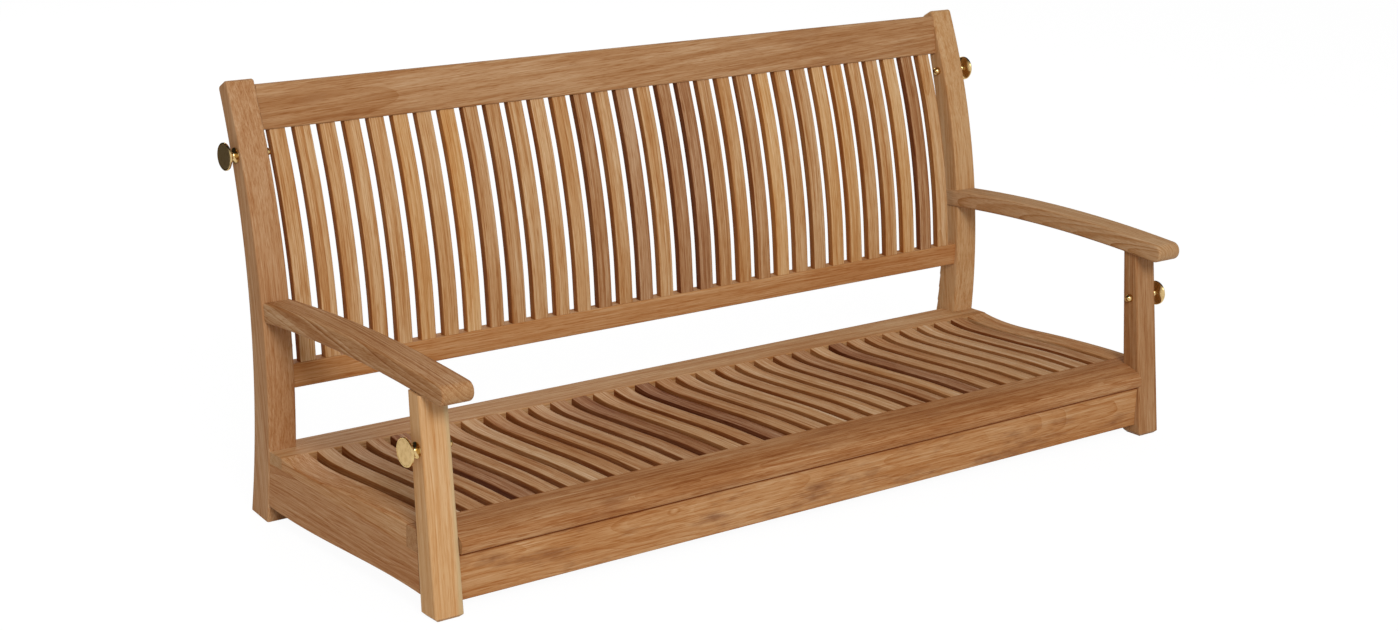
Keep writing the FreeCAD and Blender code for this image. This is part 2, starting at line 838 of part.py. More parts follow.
def nosing():
    """Return the bullnosed front board of the seat, notched round the front posts."""
    nose_height = nosing_underside + nosing_lip
    fall_y = nosing_fall_start - nosing_front
    fall_z = nosing_top - nose_height
    angle = math.radians(45.0)
    middle = at(nosing_fall_start - fall_y * math.sin(angle), nose_height + fall_z * math.cos(angle))
    top_start = at(nosing_fall_start, nosing_top)
    nose = at(nosing_front, nose_height)
    fall = Part.BSplineCurve()
    fall.interpolate([top_start, middle, nose], InitialTangent=at(-1.0, 0.0), FinalTangent=at(0.0, -1.0))
    edges = [
        line(at(nosing_back, nosing_underside), at(nosing_back, nosing_top)),
        line(at(nosing_back, nosing_top), top_start),
        fall.toShape(),
        line(nose, at(nosing_front + nosing_tuck, nosing_underside)),
        line(at(nosing_front + nosing_tuck, nosing_underside), at(nosing_back, nosing_underside)),
    ]
    solid = prism(edges, -seat_side, seat_side)
    low = nosing_underside + 0.1

    def lower_front(edge):
        near = nosing_front + nosing_tuck + 1.0
        return runs_along_x(edge) and middle_of(edge).z < low and middle_of(edge).y < near

    solid = rounded(solid, rail_rounding, lower_front)
    notches = both_sides([front_notch()])
    return solid.cut(notches + seat_mortises() + dowels(peg_radius + peg_clearance))


def front_notch():
    """Return the room for the left front post and all that is in front of its back face."""
    top = nosing_top + 1.0
    front = nosing_front - post_width
    points = [
        at(front, 0.0),
        at(front, top),
        at(front_back_y(top) + joint_clearance, top),
        at(front_back_y(0.0) + joint_clearance, 0.0),
        at(front, 0.0),
    ]
    return prism(outline(points), -half_width - 1.0, -inner_face)


# Frame under the seat


def front_apron():
    """Return the apron under the front of the seat."""
    depth = (front_apron_front, front_apron_front + front_apron_thickness)
    solid = rail_between_posts(depth, (front_apron_bottom, nosing_underside), apron_top_rounding)
    rooms = both_sides([front_peg(peg_radius + peg_clearance)])
    rooms += dowels(peg_radius + peg_clearance) + [bearer_tongue(joint_clearance, end_clearance)]
    return solid.cut(rooms)


def rear_apron():
    """Return the apron under the back of the seat."""
    depth = (rear_apron_front, rear_apron_front + rear_apron_thickness)
    solid = rail_between_posts(depth, (rear_apron_bottom, rear_board_underside), apron_top_rounding)
    rooms = both_sides(rear_pegs(peg_radius + peg_clearance))
    rooms += dowels(peg_radius + peg_clearance) + [bearer_tongue(joint_clearance, end_clearance)]
    return solid.cut(rooms)


def side_rail():
    """Return the left side rail, with its curved lower edge and its tenons."""
    front_low = side_rail_crown_bottom - side_rail_front_drop
    front_y = front_back_y(front_low)
    rear_low = side_rail_rear_bottom
    rear_y = rear_front_y(rear_low)
    rear_middle = (rear_low + rear_board_underside) / 2.0
    lower = curve([
        at(rear_y, rear_low),
        at(side_rail_hollow_depth, side_rail_hollow_bottom),
        at(seat_crown_depth, side_rail_crown_bottom),
        at(front_y, front_low),
    ])
    front_top = at(front_back_y(nosing_underside), nosing_underside)
    rear_top = at(rear_front_y(rear_board_underside), rear_board_underside)
    edges = [
        lower,
        line(at(front_y, front_low), front_top),
        line(front_top, at(nosing_back, nosing_underside)),
        line(at(nosing_back, nosing_underside), at(rear_board_front, rear_board_underside)),
        line(at(rear_board_front, rear_board_underside), rear_top),
        arc(rear_top, at(rear_front_y(rear_middle), rear_middle), at(rear_y, rear_low)),
    ]
    solid = prism(edges, -seat_side, -seat_side + side_rail_thickness)
    tenons = [block(side_tenon_x(), y, side_tenon_z()) for y in (side_tenon_front_y(), side_tenon_rear_y())]
    solid = fused(solid, *tenons)
    return solid.cut(dowels(peg_radius + peg_clearance))


def bearer_tongue(clearance=0.0, extra=0.0):
    """Return the long tongue of the middle bearer, which ends inside both aprons."""
    half = tenon_thickness / 2.0 + clearance
    low = bearer_bottom + tenon_shoulder
    high = nosing_underside - 2.0 * tenon_shoulder
    front = front_apron_front + front_apron_thickness - tongue_length - extra
    rear = rear_apron_front + tongue_length + extra
    return block((-half, half), (front, rear), grown((low, high), clearance))


def middle_bearer():
    """Return the bearer under the slats, from the front apron to the rear one."""
    half = bearer_width / 2.0
    front = front_apron_front + front_apron_thickness
    rear = rear_apron_front
    drop = seat_slat_thickness
    edges = [
        line(at(front, bearer_bottom), at(front, nosing_underside)),
        line(at(front, nosing_underside), at(nosing_back, nosing_underside)),
        line(at(nosing_back, nosing_underside), at(nosing_back, nosing_top - drop)),
        seat_curve(nosing_back, rear_board_front, drop),
        line(at(rear_board_front, seat_rear_top - drop), at(rear_board_front, rear_board_underside)),
        line(at(rear_board_front, rear_board_underside), at(rear, rear_board_underside)),
        line(at(rear, rear_board_underside), at(rear, bearer_bottom)),
        line(at(rear, bearer_bottom), at(front, bearer_bottom)),
    ]
    return fused(prism(edges, -half, half), bearer_tongue())


# Brass fittings, each turned about its own X axis, with its foot at X = 0 and its disc towards -X


def turned(points):
    """Return the solid turned from a closed outline of (distance, radius) points."""
    corners = [Vector(-distance, radius, 0.0) for distance, radius in points]
    return spun(outline(corners + corners[:1]))


def spun(edges):
    """Return the solid turned about X from a closed outline of edges."""
    face = Part.Face(Part.Wire(edges))
    return face.revolve(Vector(0.0, 0.0, 0.0), Vector(1.0, 0.0, 0.0), 360.0)


def recess_floor():
    """Return how far the floor of a bobbin's recess is from the post."""
    return bobbin_length - recess_depth


def head_seat():
    """Return how far the seat of the bolt head is from the post."""
    return recess_floor() - head_clearance - bolt_head_height - side_clearance


def bobbin():
    """Return a bobbin: base, waist and wide disc, bored for its bolt and recessed for its cap."""
    start = side_clearance
    rim_back = bobbin_length - rim_thickness
    flare = Part.BSplineCurve()
    flare.interpolate([
        Vector(-(start + base_land), base_radius, 0.0),
        Vector(-(start + waist_place) / 2.0, (waist_radius + base_radius) / 2.0 - 1.0, 0.0),
        Vector(-waist_place, waist_radius, 0.0),
        Vector(-(waist_place + rim_back) / 2.0, (waist_radius + disc_radius) / 2.0 - 2.0, 0.0),
        Vector(-rim_back, disc_radius, 0.0),
    ])
    bore = bolt_radius + running_clearance
    pocket = bolt_head_radius + head_clearance
    inner = [
        (bobbin_length - rim_chamfer, disc_radius),
        (bobbin_length, disc_radius - rim_chamfer),
        (bobbin_length, recess_radius),
        (recess_floor(), recess_radius),
        (recess_floor(), pocket),
        (head_seat(), pocket),
        (head_seat(), bore),
        (start, bore),
        (start, base_radius),
    ]
    corners = [Vector(-rim_back, disc_radius, 0.0)]
    corners += [Vector(-distance, radius, 0.0) for distance, radius in inner]
    corners.append(Vector(-(start + base_land), base_radius, 0.0))
    return spun([flare.toShape()] + outline(corners))


def bobbin_cap():
    """Return the flat cap that is pressed into a bobbin's disc."""
    radius = recess_radius - joint_clearance
    face = bobbin_length - joint_clearance
    floor = recess_floor()
    return turned([
        (floor, 0.0),
        (face, 0.0),
        (face, radius - cap_edge),
        (face - cap_edge, radius),
        (floor, radius),
    ])


def bolt():
    """Return a bolt: head inside the bobbin, shank through the post and into its nut."""
    seat = head_seat() + side_clearance
    top = seat + bolt_head_height
    end = -(post_width + nut_thread_length)
    return turned([
        (end, 0.0),
        (top, 0.0),
        (top, bolt_head_radius - head_edge),
        (top - head_edge, bolt_head_radius),
        (seat, bolt_head_radius),
        (seat, bolt_radius),
        (end, bolt_radius),
    ])


def domed_nut():
    """Return a round domed nut against the inner face of the post."""
    face = -post_width
    dome_start = face - nut_collar
    room = bolt_radius + peg_clearance
    depth = face - nut_thread_length - end_clearance
    tip = dome_start - math.sqrt(nut_radius ** 2 - nut_tip_radius ** 2)
    side = math.sqrt(0.5) * nut_radius
    edges = [
        line(Vector(-face, room, 0.0), Vector(-face, nut_radius, 0.0)),
        line(Vector(-face, nut_radius, 0.0), Vector(-dome_start, nut_radius, 0.0)),
        arc(
            Vector(-dome_start, nut_radius, 0.0),
            Vector(-dome_start + side, side, 0.0),
            Vector(-tip, nut_tip_radius, 0.0),
        ),
        line(Vector(-tip, nut_tip_radius, 0.0), Vector(-tip, 0.0, 0.0)),
        line(Vector(-tip, 0.0, 0.0), Vector(-depth, 0.0, 0.0)),
        line(Vector(-depth, 0.0, 0.0), Vector(-depth, room, 0.0)),
        line(Vector(-depth, room, 0.0), Vector(-face, room, 0.0)),
    ]
    return spun(edges)


def placed(solid, y, z, side):
    """Return a fitting on the left (-1) or right (1) post, at a depth and height."""
    copy = solid.copy()
    copy.translate(Vector(-half_width, y, z))
    return copy if side < 0.0 else mirrored(copy)


def stations():
    """Return the name, depth, height and side of each bobbin."""
    places = [("front", front_bolt_y(), front_bobbin_height), ("rear", rear_bolt_y(), rear_bobbin_height)]
    sides = [("left", -1.0), ("right", 1.0)]
    return [(f"{row}_{name}", y, z, side) for row, y, z in places for name, side in sides]


# The whole bench


def slat_groups(name, solids, size):
    """Return slats in named groups of neighbours."""
    found = {}
    for first in range(0, len(solids), size):
        group = solids[first:first + size]
        last = first + len(group)
        found[f"{name}_{first + 1:02d}_{last:02d}"] = joined(group)
    return found


def wooden_pairs():
    """Return the wooden pieces that the bench has on its left and on its right."""
    makers = {
        "rear_post": rear_post,
        "front_post": front_post,
        "arm": arm,
        "seat_end_board": end_board,
        "side_rail": side_rail,
    }
    found = {}
    for name, maker in makers.items():
        left = maker()
        found[f"{name}_left"] = left
        found[f"{name}_right"] = mirrored(left)
    return found


def brass_fittings():
    """Return the bobbins, their caps, their bolts and their nuts."""
    found = {}
    for name, y, z, side in stations():
        found[f"bobbin_{name}"] = placed(bobbin(), y, z, side)
        found[f"bobbin_cap_{name}"] = placed(bobbin_cap(), y, z, side)
    found["bobbin_bolts"] = joined([placed(bolt(), y, z, side) for _, y, z, side in stations()])
    found["domed_nuts"] = joined([placed(domed_nut(), y, z, side) for _, y, z, side in stations()])
    return found


def build():
    """Return every piece of the bench by name."""
    pieces = wooden_pairs()
    pieces["top_rail"] = top_rail()
    pieces["lower_back_rail"] = lower_back_rail()
    pieces["rear_seat_board"] = rear_seat_board()
    pieces["seat_nosing"] = nosing()
    pieces["front_apron"] = front_apron()
    pieces["rear_apron"] = rear_apron()
    pieces["middle_bearer"] = middle_bearer()
    slat = back_slat()
    half = seat_slat_width / 2.0
    pieces.update(slat_groups("back_slats", [moved(slat, x) for x in slat_places()], 2))
    pieces.update(slat_groups("seat_slats", [seat_slat((x - half, x + half)) for x in slat_places()], 3))
    pieces.update(brass_fittings())
    pieces["joint_pegs"] = joined(both_sides(trimmed_pegs()))
    pieces["seat_dowels"] = joined(dowels(peg_radius))
    return pieces


def main():
    """Build the bench, centre it over the origin and write one file for each piece."""
    os.makedirs("parts", exist_ok=True)
    pieces = build()
    box = joined(list(pieces.values())).optimalBoundingBox(False, False)
    centring = Vector(0.0, -(box.YMin + box.YMax) / 2.0, 0.0)
    for name, shape in pieces.items():
        shape.translate(centring)
        shape.exportStep(f"parts/{name}.step")
        print(f"{name}: {len(shape.Solids)} solids, valid {shape.isValid()}, {shape.Volume / 1000.0:.1f} cm3")
    print(f"{len(pieces)} pieces; moved along Y by {centring.y:.3f}")
    print(f"box {box.XLength:.1f} x {box.YLength:.1f} x {box.ZLength:.1f}, slat gap {slat_gap:.2f}")
    for name, y, z, side in stations():
        print(f"bobbin {name}: y {y + centring.y:.3f}, z {z:.3f}")


main()
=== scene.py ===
"""Dress the slatted swing bench seat: teak posts, rails, slats and arms, and brass bobbins.

Metres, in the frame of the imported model: +X along the bench, +Y towards its back and +Z up.
"""

import json
import logging
import math
from dataclasses import dataclass
from enum import Enum

import bmesh
import bpy
from mathutils import Euler, Matrix, Vector


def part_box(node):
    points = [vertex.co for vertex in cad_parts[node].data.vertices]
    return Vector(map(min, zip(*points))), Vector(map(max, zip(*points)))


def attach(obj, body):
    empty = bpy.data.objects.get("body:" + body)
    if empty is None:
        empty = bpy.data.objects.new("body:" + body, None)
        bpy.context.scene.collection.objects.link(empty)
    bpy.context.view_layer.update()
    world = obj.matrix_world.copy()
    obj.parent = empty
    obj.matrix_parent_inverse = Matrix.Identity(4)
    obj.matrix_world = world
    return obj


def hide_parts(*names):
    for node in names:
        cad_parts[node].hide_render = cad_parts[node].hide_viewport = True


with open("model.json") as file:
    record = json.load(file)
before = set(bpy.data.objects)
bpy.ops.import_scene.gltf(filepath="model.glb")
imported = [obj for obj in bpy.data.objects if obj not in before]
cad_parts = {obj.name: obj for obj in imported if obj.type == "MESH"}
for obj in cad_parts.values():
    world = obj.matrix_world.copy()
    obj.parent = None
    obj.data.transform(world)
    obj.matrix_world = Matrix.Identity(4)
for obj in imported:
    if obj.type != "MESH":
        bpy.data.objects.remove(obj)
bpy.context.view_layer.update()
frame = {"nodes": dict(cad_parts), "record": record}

log = logging.getLogger("bench")

MILLIMETRE = 0.001
MERGE_DISTANCE = 0.002 * MILLIMETRE
CENTRING = -40.552          # the arms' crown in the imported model, along Y, in millimetres

SCREEN_WHITE = 255.0
SCREEN_KNEE = 0.04045       # up to this share of white a screen's tones run straight
SCREEN_SLOPE = 12.92
SCREEN_LIFT = 0.055         # above it they follow a lifted power
SCREEN_POWER = 2.4

BOARD_CREASE = 28.0         # angles from which a corner stays sharp, in degrees
BRASS_CREASE = 32.0
SLAT_CREASE = 40.0

Node = bpy.types.Node
NodeTree = bpy.types.NodeTree
Outputs = bpy.types.NodeOutputs
Socket = bpy.types.NodeSocket
Colour = tuple[float, float, float, float]
Screen = tuple[int, int, int]
Triple = tuple[float, float, float]
Ramp = tuple[float, float, float, float]    # where a change starts and stops, and its results


def paint(red: int, green: int, blue: int) -> Colour:
    """Turn a screen colour into the linear one that a shader takes.

    Args:
        red: Red on the screen, 0 to 255.
        green: Green on the screen, 0 to 255.
        blue: Blue on the screen, 0 to 255.

    Returns:
        The linear colour, with an alpha of 1.
    """
    linear = []
    for value in (red, green, blue):
        share = value / SCREEN_WHITE
        lifted = (share + SCREEN_LIFT) / (1.0 + SCREEN_LIFT)
        linear.append(share / SCREEN_SLOPE if share <= SCREEN_KNEE else lifted ** SCREEN_POWER)
    return (*linear, 1.0)


class Grain(Enum):
    """Which way the fibres of a board run, as the turn that stands them upright."""

    ALONG_BENCH = (0.0, -90.0, 0.0)
    FRONT_TO_BACK = (90.0, 0.0, 0.0)
    UPRIGHT = (0.0, 0.0, 0.0)
    LEANING_BACK = (6.7, 0.0, 0.0)

    def turn(self, lean: tuple[float, float]) -> Euler:
        """Return the turn for a board whose fibres lean so many degrees about X and Y."""
        angles = zip(self.value, (*lean, 0.0))
        return Euler([math.radians(own + more) for own, more in angles])


class Slot(Enum):
    """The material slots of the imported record."""

    FRAME = "teak_frame"
    BACK_SLATS = "teak_back_slats"
    SEAT_SLATS = "teak_seat_slats"
    PEGS = "teak_pegs"
    BRASS = "brass"


@dataclass(frozen=True)
class Fineness:
    """How fine a noise is."""

    stretch: Triple                  # bumps in a metre along each axis
    detail: float = 1.0              # octaves of finer noise
    rough: float = 0.5               # how much the finer octaves show


class NodeSheet:
    """A node tree with short ways to add and join its nodes."""

    def __init__(self, tree: NodeTree) -> None:
        """Take the shader or geometry tree that the nodes go into."""
        self.tree = tree

    def add(
        self, kind: str, feeds: dict[str | int, object] | None = None, **settings: object
    ) -> Node:
        """Add a node, set its properties and feed its inputs.

        Args:
            kind: The node's type name.
            feeds: Sockets or plain values for its inputs, by their name or place.
            **settings: Its properties by name.

        Returns:
            The new node.
        """
        node = self.tree.nodes.new(kind)
        for name, value in settings.items():
            setattr(node, name, value)
        self.feed(node, feeds or {})
        return node

    def feed(self, node: Node, feeds: dict[str | int, object]) -> None:
        """Feed inputs of a node with sockets or plain values, by their name or place."""
        for key, start in feeds.items():
            self.wire(start, node.inputs[key])

    def wire(self, start: object, socket: Socket) -> None:
        """Feed a socket from another one, or with a plain value.

        Args:
            start: An output socket or a value.
            socket: The input socket.
        """
        if isinstance(start, Socket):
            self.tree.links.new(start, socket)
        else:
            socket.default_value = start

    def sum_up(self, operation: str, *values: object) -> Socket:
        """Return the result of a Math node with these sockets or numbers as its inputs."""
        feeds = dict(enumerate(values))
        return self.add("ShaderNodeMath", feeds, operation=operation).outputs[0]

    def along(self, operation: str, *values: object) -> Socket:
        """Return the vector that a Vector Math node gives, or the number where it gives one."""
        node = self.add("ShaderNodeVectorMath", dict(enumerate(values)), operation=operation)
        return node.outputs["Value" if operation in ("LENGTH", "DOT_PRODUCT") else "Vector"]

    def scaled(self, vector: object, factor: object) -> Socket:
        """Return a vector made this many times longer."""
        feeds = {0: vector, "Scale": factor}
        return self.add("ShaderNodeVectorMath", feeds, operation="SCALE").outputs["Vector"]

    def parts(self, vector: object) -> Outputs:
        """Return the X, Y and Z of a vector."""
        return self.add("ShaderNodeSeparateXYZ", {"Vector": vector}).outputs

    def noise(self, place: object, fineness: Fineness, output: str = "Fac") -> Socket:
        """Add a noise that is finer along some axes than along others.

        Args:
            place: The coordinates.
            fineness: How fine it is.
            output: Fac for one value, or Color for three.

        Returns:
            The noise, about 0.5 on average.
        """
        feeds = {
            "Vector": self.along("MULTIPLY", place, fineness.stretch),
            "Scale": 1.0,
            "Detail": fineness.detail,
            "Roughness": fineness.rough,
        }
        return self.add("ShaderNodeTexNoise", feeds, noise_dimensions="3D").outputs[output]

    def wave(self, value: object) -> Socket:
        """Return an uneven wave, one bump for each unit of a value."""
        feeds = {"W": value, "Scale": 1.0}
        return self.add("ShaderNodeTexNoise", feeds, noise_dimensions="1D").outputs["Fac"]

    def span(self, value: object, ramp: Ramp) -> Socket:
        """Add a smooth Map Range node.

        Args:
            value: The value to map.
            ramp: Where the result starts and stops to change, and the results there.

        Returns:
            The mapped value.
        """
        names = ("Value", "From Min", "From Max", "To Min", "To Max")
        feeds = dict(zip(names, (value, *ramp)))
        node = self.add("ShaderNodeMapRange", feeds, interpolation_type="SMOOTHSTEP")
        return node.outputs["Result"]

    def blend(self, share: object, first: object, second: object) -> Socket:
        """Return the mix of two colours that has this share of the second one."""
        feeds = {0: share, 6: first, 7: second}     # its colour sockets share their names
        return self.add("ShaderNodeMix", feeds, data_type="RGBA").outputs[2]

    def bump(self, height: object, strength: float, depth: float) -> Socket:
        """Return the normal of a relief, from its strength and its depth in millimetres."""
        feeds = {"Strength": strength, "Distance": depth * MILLIMETRE, "Height": height}
        return self.add("ShaderNodeBump", feeds).outputs["Normal"]


def new_group(name: str, kind: str, inputs: dict[str, str], outputs: dict[str, str]) -> NodeTree:
    """Start a node group with named sockets.

    Args:
        name: The group's name.
        kind: The type of its tree.
        inputs: Socket type by name.
        outputs: Socket type by name.

    Returns:
        The group's tree, without nodes.
    """
    tree = bpy.data.node_groups.new(name, kind)
    for way, sockets in (("INPUT", inputs), ("OUTPUT", outputs)):
        for label, socket_type in sockets.items():
            tree.interface.new_socket(label, in_out=way, socket_type=socket_type)
    return tree


class TeakGroup:
    """The shader group that grows teak: rings round a pith, fibres, pores, streaks and sapwood."""

    NAME = "teak grain"
    BROAD = Fineness((15.0, 15.0, 3.0))
    STREAKS = Fineness((140.0, 140.0, 3.6), 2.0, 0.6)
    FIBRES = Fineness((640.0, 640.0, 14.0), 2.0, 0.65)
    PORES = Fineness((1250.0, 1250.0, 60.0))
    FLECKS = Fineness((560.0, 560.0, 30.0))
    CLOUDS = Fineness((30.0, 30.0, 8.0), 4.0, 0.66)
    WANDER = Fineness((8.0, 8.0, 2.6), 2.0)
    PORE_RAMP = (0.58, 0.7, 0.0, 1.0)
    FLECK_RAMP = (0.55, 0.72, 0.0, 1.0)
    CLOUD_RAMP = (0.5, 0.78, 0.0, 1.0)
    SAPWOOD_RAMP = (-0.001, 0.005, 0.0, 0.75)
    CUT_END_RAMP = (0.6, 0.97, 0.0, 0.45)
    KNOT_SHAPE = (1.0, 0.0, 0.5)     # an oval twice as long as it is high
    LEAST_KNOT = 0.1 * MILLIMETRE
    KNOT_RIM_RAMP = (0.05, 0.5, 0.16, 0.0)
    KNOT_HEART_RAMP = (0.2, 1.0, -0.14, 0.0)
    BULGE_RAMP = (0.0, 9.0, 1.5, 0.0)
    YEAR_RAMP = (0.3, 0.7, 0.25, 1.0)
    SAPWOOD = (196, 170, 128)
    MINERAL = (118, 69, 42)
    CUT_END = (168, 128, 86)
    SEED_WAY = (3.17, 1.73, 5.31)    # how far a seed of 1 moves the patterns, in metres
    BROAD_SHARE = 0.5                # how much each pattern darkens the wood
    STREAK_SHARE = 1.0
    FIBRE_SHARE = 1.0
    PORE_SHARE = 0.14
    FLECK_SHARE = 0.2
    PALE_SHARE = 0.5                 # how much of a pattern's pale half is kept
    PLAIN_GAMMA = 0.87               # of the wood between the patterns
    YEAR_CHANGE = 0.43               # changes of width in each ring
    YEAR_DRIFT = 2.4                 # how uneven the rings' widths are
    LATE_WOOD = 2.2                  # how sharply a ring ends
    DULLNESS = 0.5                   # roughness of the smooth wood
    FIBRE_DULLNESS = 0.22
    PORE_DULLNESS = 0.1
    FIBRE_RELIEF = 0.8
    RING_RELIEF = 0.3

    @classmethod
    def tree(cls) -> NodeTree:
        """Return the group, built the first time it is asked for."""
        return bpy.data.node_groups.get(cls.NAME) or cls().build()

    def build(self) -> NodeTree:
        """Build the group.

        Returns:
            The finished group.
        """
        number, vector, colour = "NodeSocketFloat", "NodeSocketVector", "NodeSocketColor"
        inputs = {
            "Place": vector,
            "Tone": colour,
            "Ring Width": number,
            "Figure": number,
            "Contrast": number,
            "Ring Strength": number,
            "Seed": number,
            "Heart Radius": number,
            "Clouds": number,
            # painted shade: darkens the wood where shade between or under boards is painted in
            "Painted Shade": number,
            "Knot": vector,
            "Knot Radius": number,
            "Facing": vector,
        }
        outputs = {"Color": colour, "Roughness": number, "Height": number}
        tree = new_group(self.NAME, "ShaderNodeTree", inputs, outputs)
        sheet = NodeSheet(tree)
        given = sheet.add("NodeGroupInput").outputs
        shift = sheet.scaled(self.SEED_WAY, given["Seed"])
        place = sheet.along("ADD", given["Place"], shift)
        knot, bulge = self.knot(sheet, given)
        rings, radius = self.rings(sheet, given, place, bulge)
        broad, streaks, fibres = (
            sheet.noise(place, kind) for kind in (self.BROAD, self.STREAKS, self.FIBRES)
        )
        pores = sheet.span(sheet.noise(place, self.PORES), self.PORE_RAMP)
        flecks = sheet.span(sheet.noise(place, self.FLECKS), self.FLECK_RAMP)
        clouds = sheet.span(sheet.noise(place, self.CLOUDS), self.CLOUD_RAMP)
        # the painted shade adds to the knot's own darkening
        shade = sheet.sum_up("ADD", knot, given["Painted Shade"])
        weights = (self.BROAD_SHARE, self.STREAK_SHARE, self.FIBRE_SHARE)
        for value, weight in zip((broad, streaks, fibres), weights):
            part = sheet.sum_up("MULTIPLY", sheet.sum_up("SUBTRACT", value, 0.5), weight)
            pale = sheet.sum_up("MULTIPLY", part, self.PALE_SHARE)
            shade = sheet.sum_up("ADD", shade, sheet.sum_up("MAXIMUM", part, pale))
        weights = (given["Ring Strength"], self.PORE_SHARE, self.FLECK_SHARE)
        for value, weight in zip((rings, pores, flecks), weights):
            shade = sheet.sum_up("ADD", shade, sheet.sum_up("MULTIPLY", value, weight))
        contrast = sheet.sum_up("MULTIPLY", shade, given["Contrast"])
        power = sheet.sum_up("ADD", contrast, self.PLAIN_GAMMA)
        wood = sheet.add("ShaderNodeGamma", {"Color": given["Tone"], "Gamma": power}).outputs[0]
        outer = sheet.sum_up("SUBTRACT", radius, given["Heart Radius"])
        flesh = sheet.blend(sheet.span(outer, self.SAPWOOD_RAMP), wood, paint(*self.SAPWOOD))
        cloudy = sheet.sum_up("MULTIPLY", clouds, given["Clouds"])
        flesh = sheet.blend(cloudy, flesh, paint(*self.MINERAL))
        flesh = sheet.blend(self.end_grain(sheet, given), flesh, paint(*self.CUT_END))
        dull: float | Socket = self.DULLNESS
        for value, weight in ((fibres, self.FIBRE_DULLNESS), (pores, self.PORE_DULLNESS)):
            dull = sheet.sum_up("ADD", sheet.sum_up("MULTIPLY", value, weight), dull)
        relief = sheet.sum_up("MULTIPLY", fibres, self.FIBRE_RELIEF)
        for groove in (pores, sheet.sum_up("MULTIPLY", rings, self.RING_RELIEF)):
            relief = sheet.sum_up("SUBTRACT", relief, groove)
        sheet.add("NodeGroupOutput", {"Color": flesh, "Roughness": dull, "Height": relief})
        return tree

    def end_grain(self, sheet: NodeSheet, given: Outputs) -> Socket:
        """Return how much of the end grain's colour shows, by how squarely the fibres are cut."""
        fibrewise = sheet.sum_up("ABSOLUTE", sheet.parts(given["Facing"])["Z"])
        return sheet.span(fibrewise, self.CUT_END_RAMP)

    def knot(self, sheet: NodeSheet, given: Outputs) -> tuple[Socket, Socket]:
        """Add a small knot, an oval along the fibres that the rings flow round.

        Args:
            sheet: The group's nodes.
            given: The group's inputs.

        Returns:
            The knot's own shade and how far it pushes the rings, in metres.
        """
        away = sheet.along("SUBTRACT", given["Place"], given["Knot"])
        distance = sheet.along("LENGTH", sheet.along("MULTIPLY", away, self.KNOT_SHAPE))
        radius = sheet.sum_up("MAXIMUM", given["Knot Radius"], self.LEAST_KNOT)
        share = sheet.sum_up("DIVIDE", distance, radius)
        off_rim = sheet.sum_up("ABSOLUTE", sheet.sum_up("SUBTRACT", share, 1.0))
        rim = sheet.span(off_rim, self.KNOT_RIM_RAMP)
        heart = sheet.span(share, self.KNOT_HEART_RAMP)
        pushed = sheet.span(share, self.BULGE_RAMP)
        bulge = sheet.sum_up("MULTIPLY", pushed, given["Knot Radius"])
        return sheet.sum_up("ADD", rim, heart), bulge

    def rings(
        self, sheet: NodeSheet, given: Outputs, place: Socket, bulge: Socket
    ) -> tuple[Socket, Socket]:
        """Add the growth rings.

        Args:
            sheet: The group's nodes.
            given: The group's inputs.
            place: The shifted coordinates.
            bulge: How far a knot pushes the rings, in metres.

        Returns:
            The rings, dark at 1, and the wandering distance from the pith.
        """
        wander = sheet.noise(place, self.WANDER, "Color")
        drift = sheet.scaled(sheet.along("SUBTRACT", wander, (0.5, 0.5, 0.5)), given["Figure"])
        moved = sheet.along("ADD", given["Place"], drift)
        radius = sheet.along("LENGTH", sheet.along("MULTIPLY", moved, (1.0, 1.0, 0.0)))
        count = sheet.sum_up("DIVIDE", sheet.sum_up("ADD", radius, bulge), given["Ring Width"])
        uneven = sheet.wave(sheet.sum_up("MULTIPLY", count, self.YEAR_CHANGE))
        year = sheet.sum_up("ADD", count, sheet.sum_up("MULTIPLY", uneven, self.YEAR_DRIFT))
        late = sheet.sum_up("POWER", sheet.sum_up("FRACT", year), self.LATE_WOOD)
        return sheet.sum_up("MULTIPLY", late, sheet.span(uneven, self.YEAR_RAMP)), radius


PAINTED_SHADOW_REACH = 3.5            # how far the painted shadow hangs down from the edge above, in millimetres
# how dark the painted shadow under the edge above is
PAINTED_SHADOW_STRENGTH = 1.2
FIBRE_BUMP = 0.25
FIBRE_DEPTH = 0.15          # millimetres
WOOD_SPECULAR = 0.12
SIDE_SHADE_REACH = 1.2            # how far the painted shade of a slat's side wraps onto its face, in millimetres
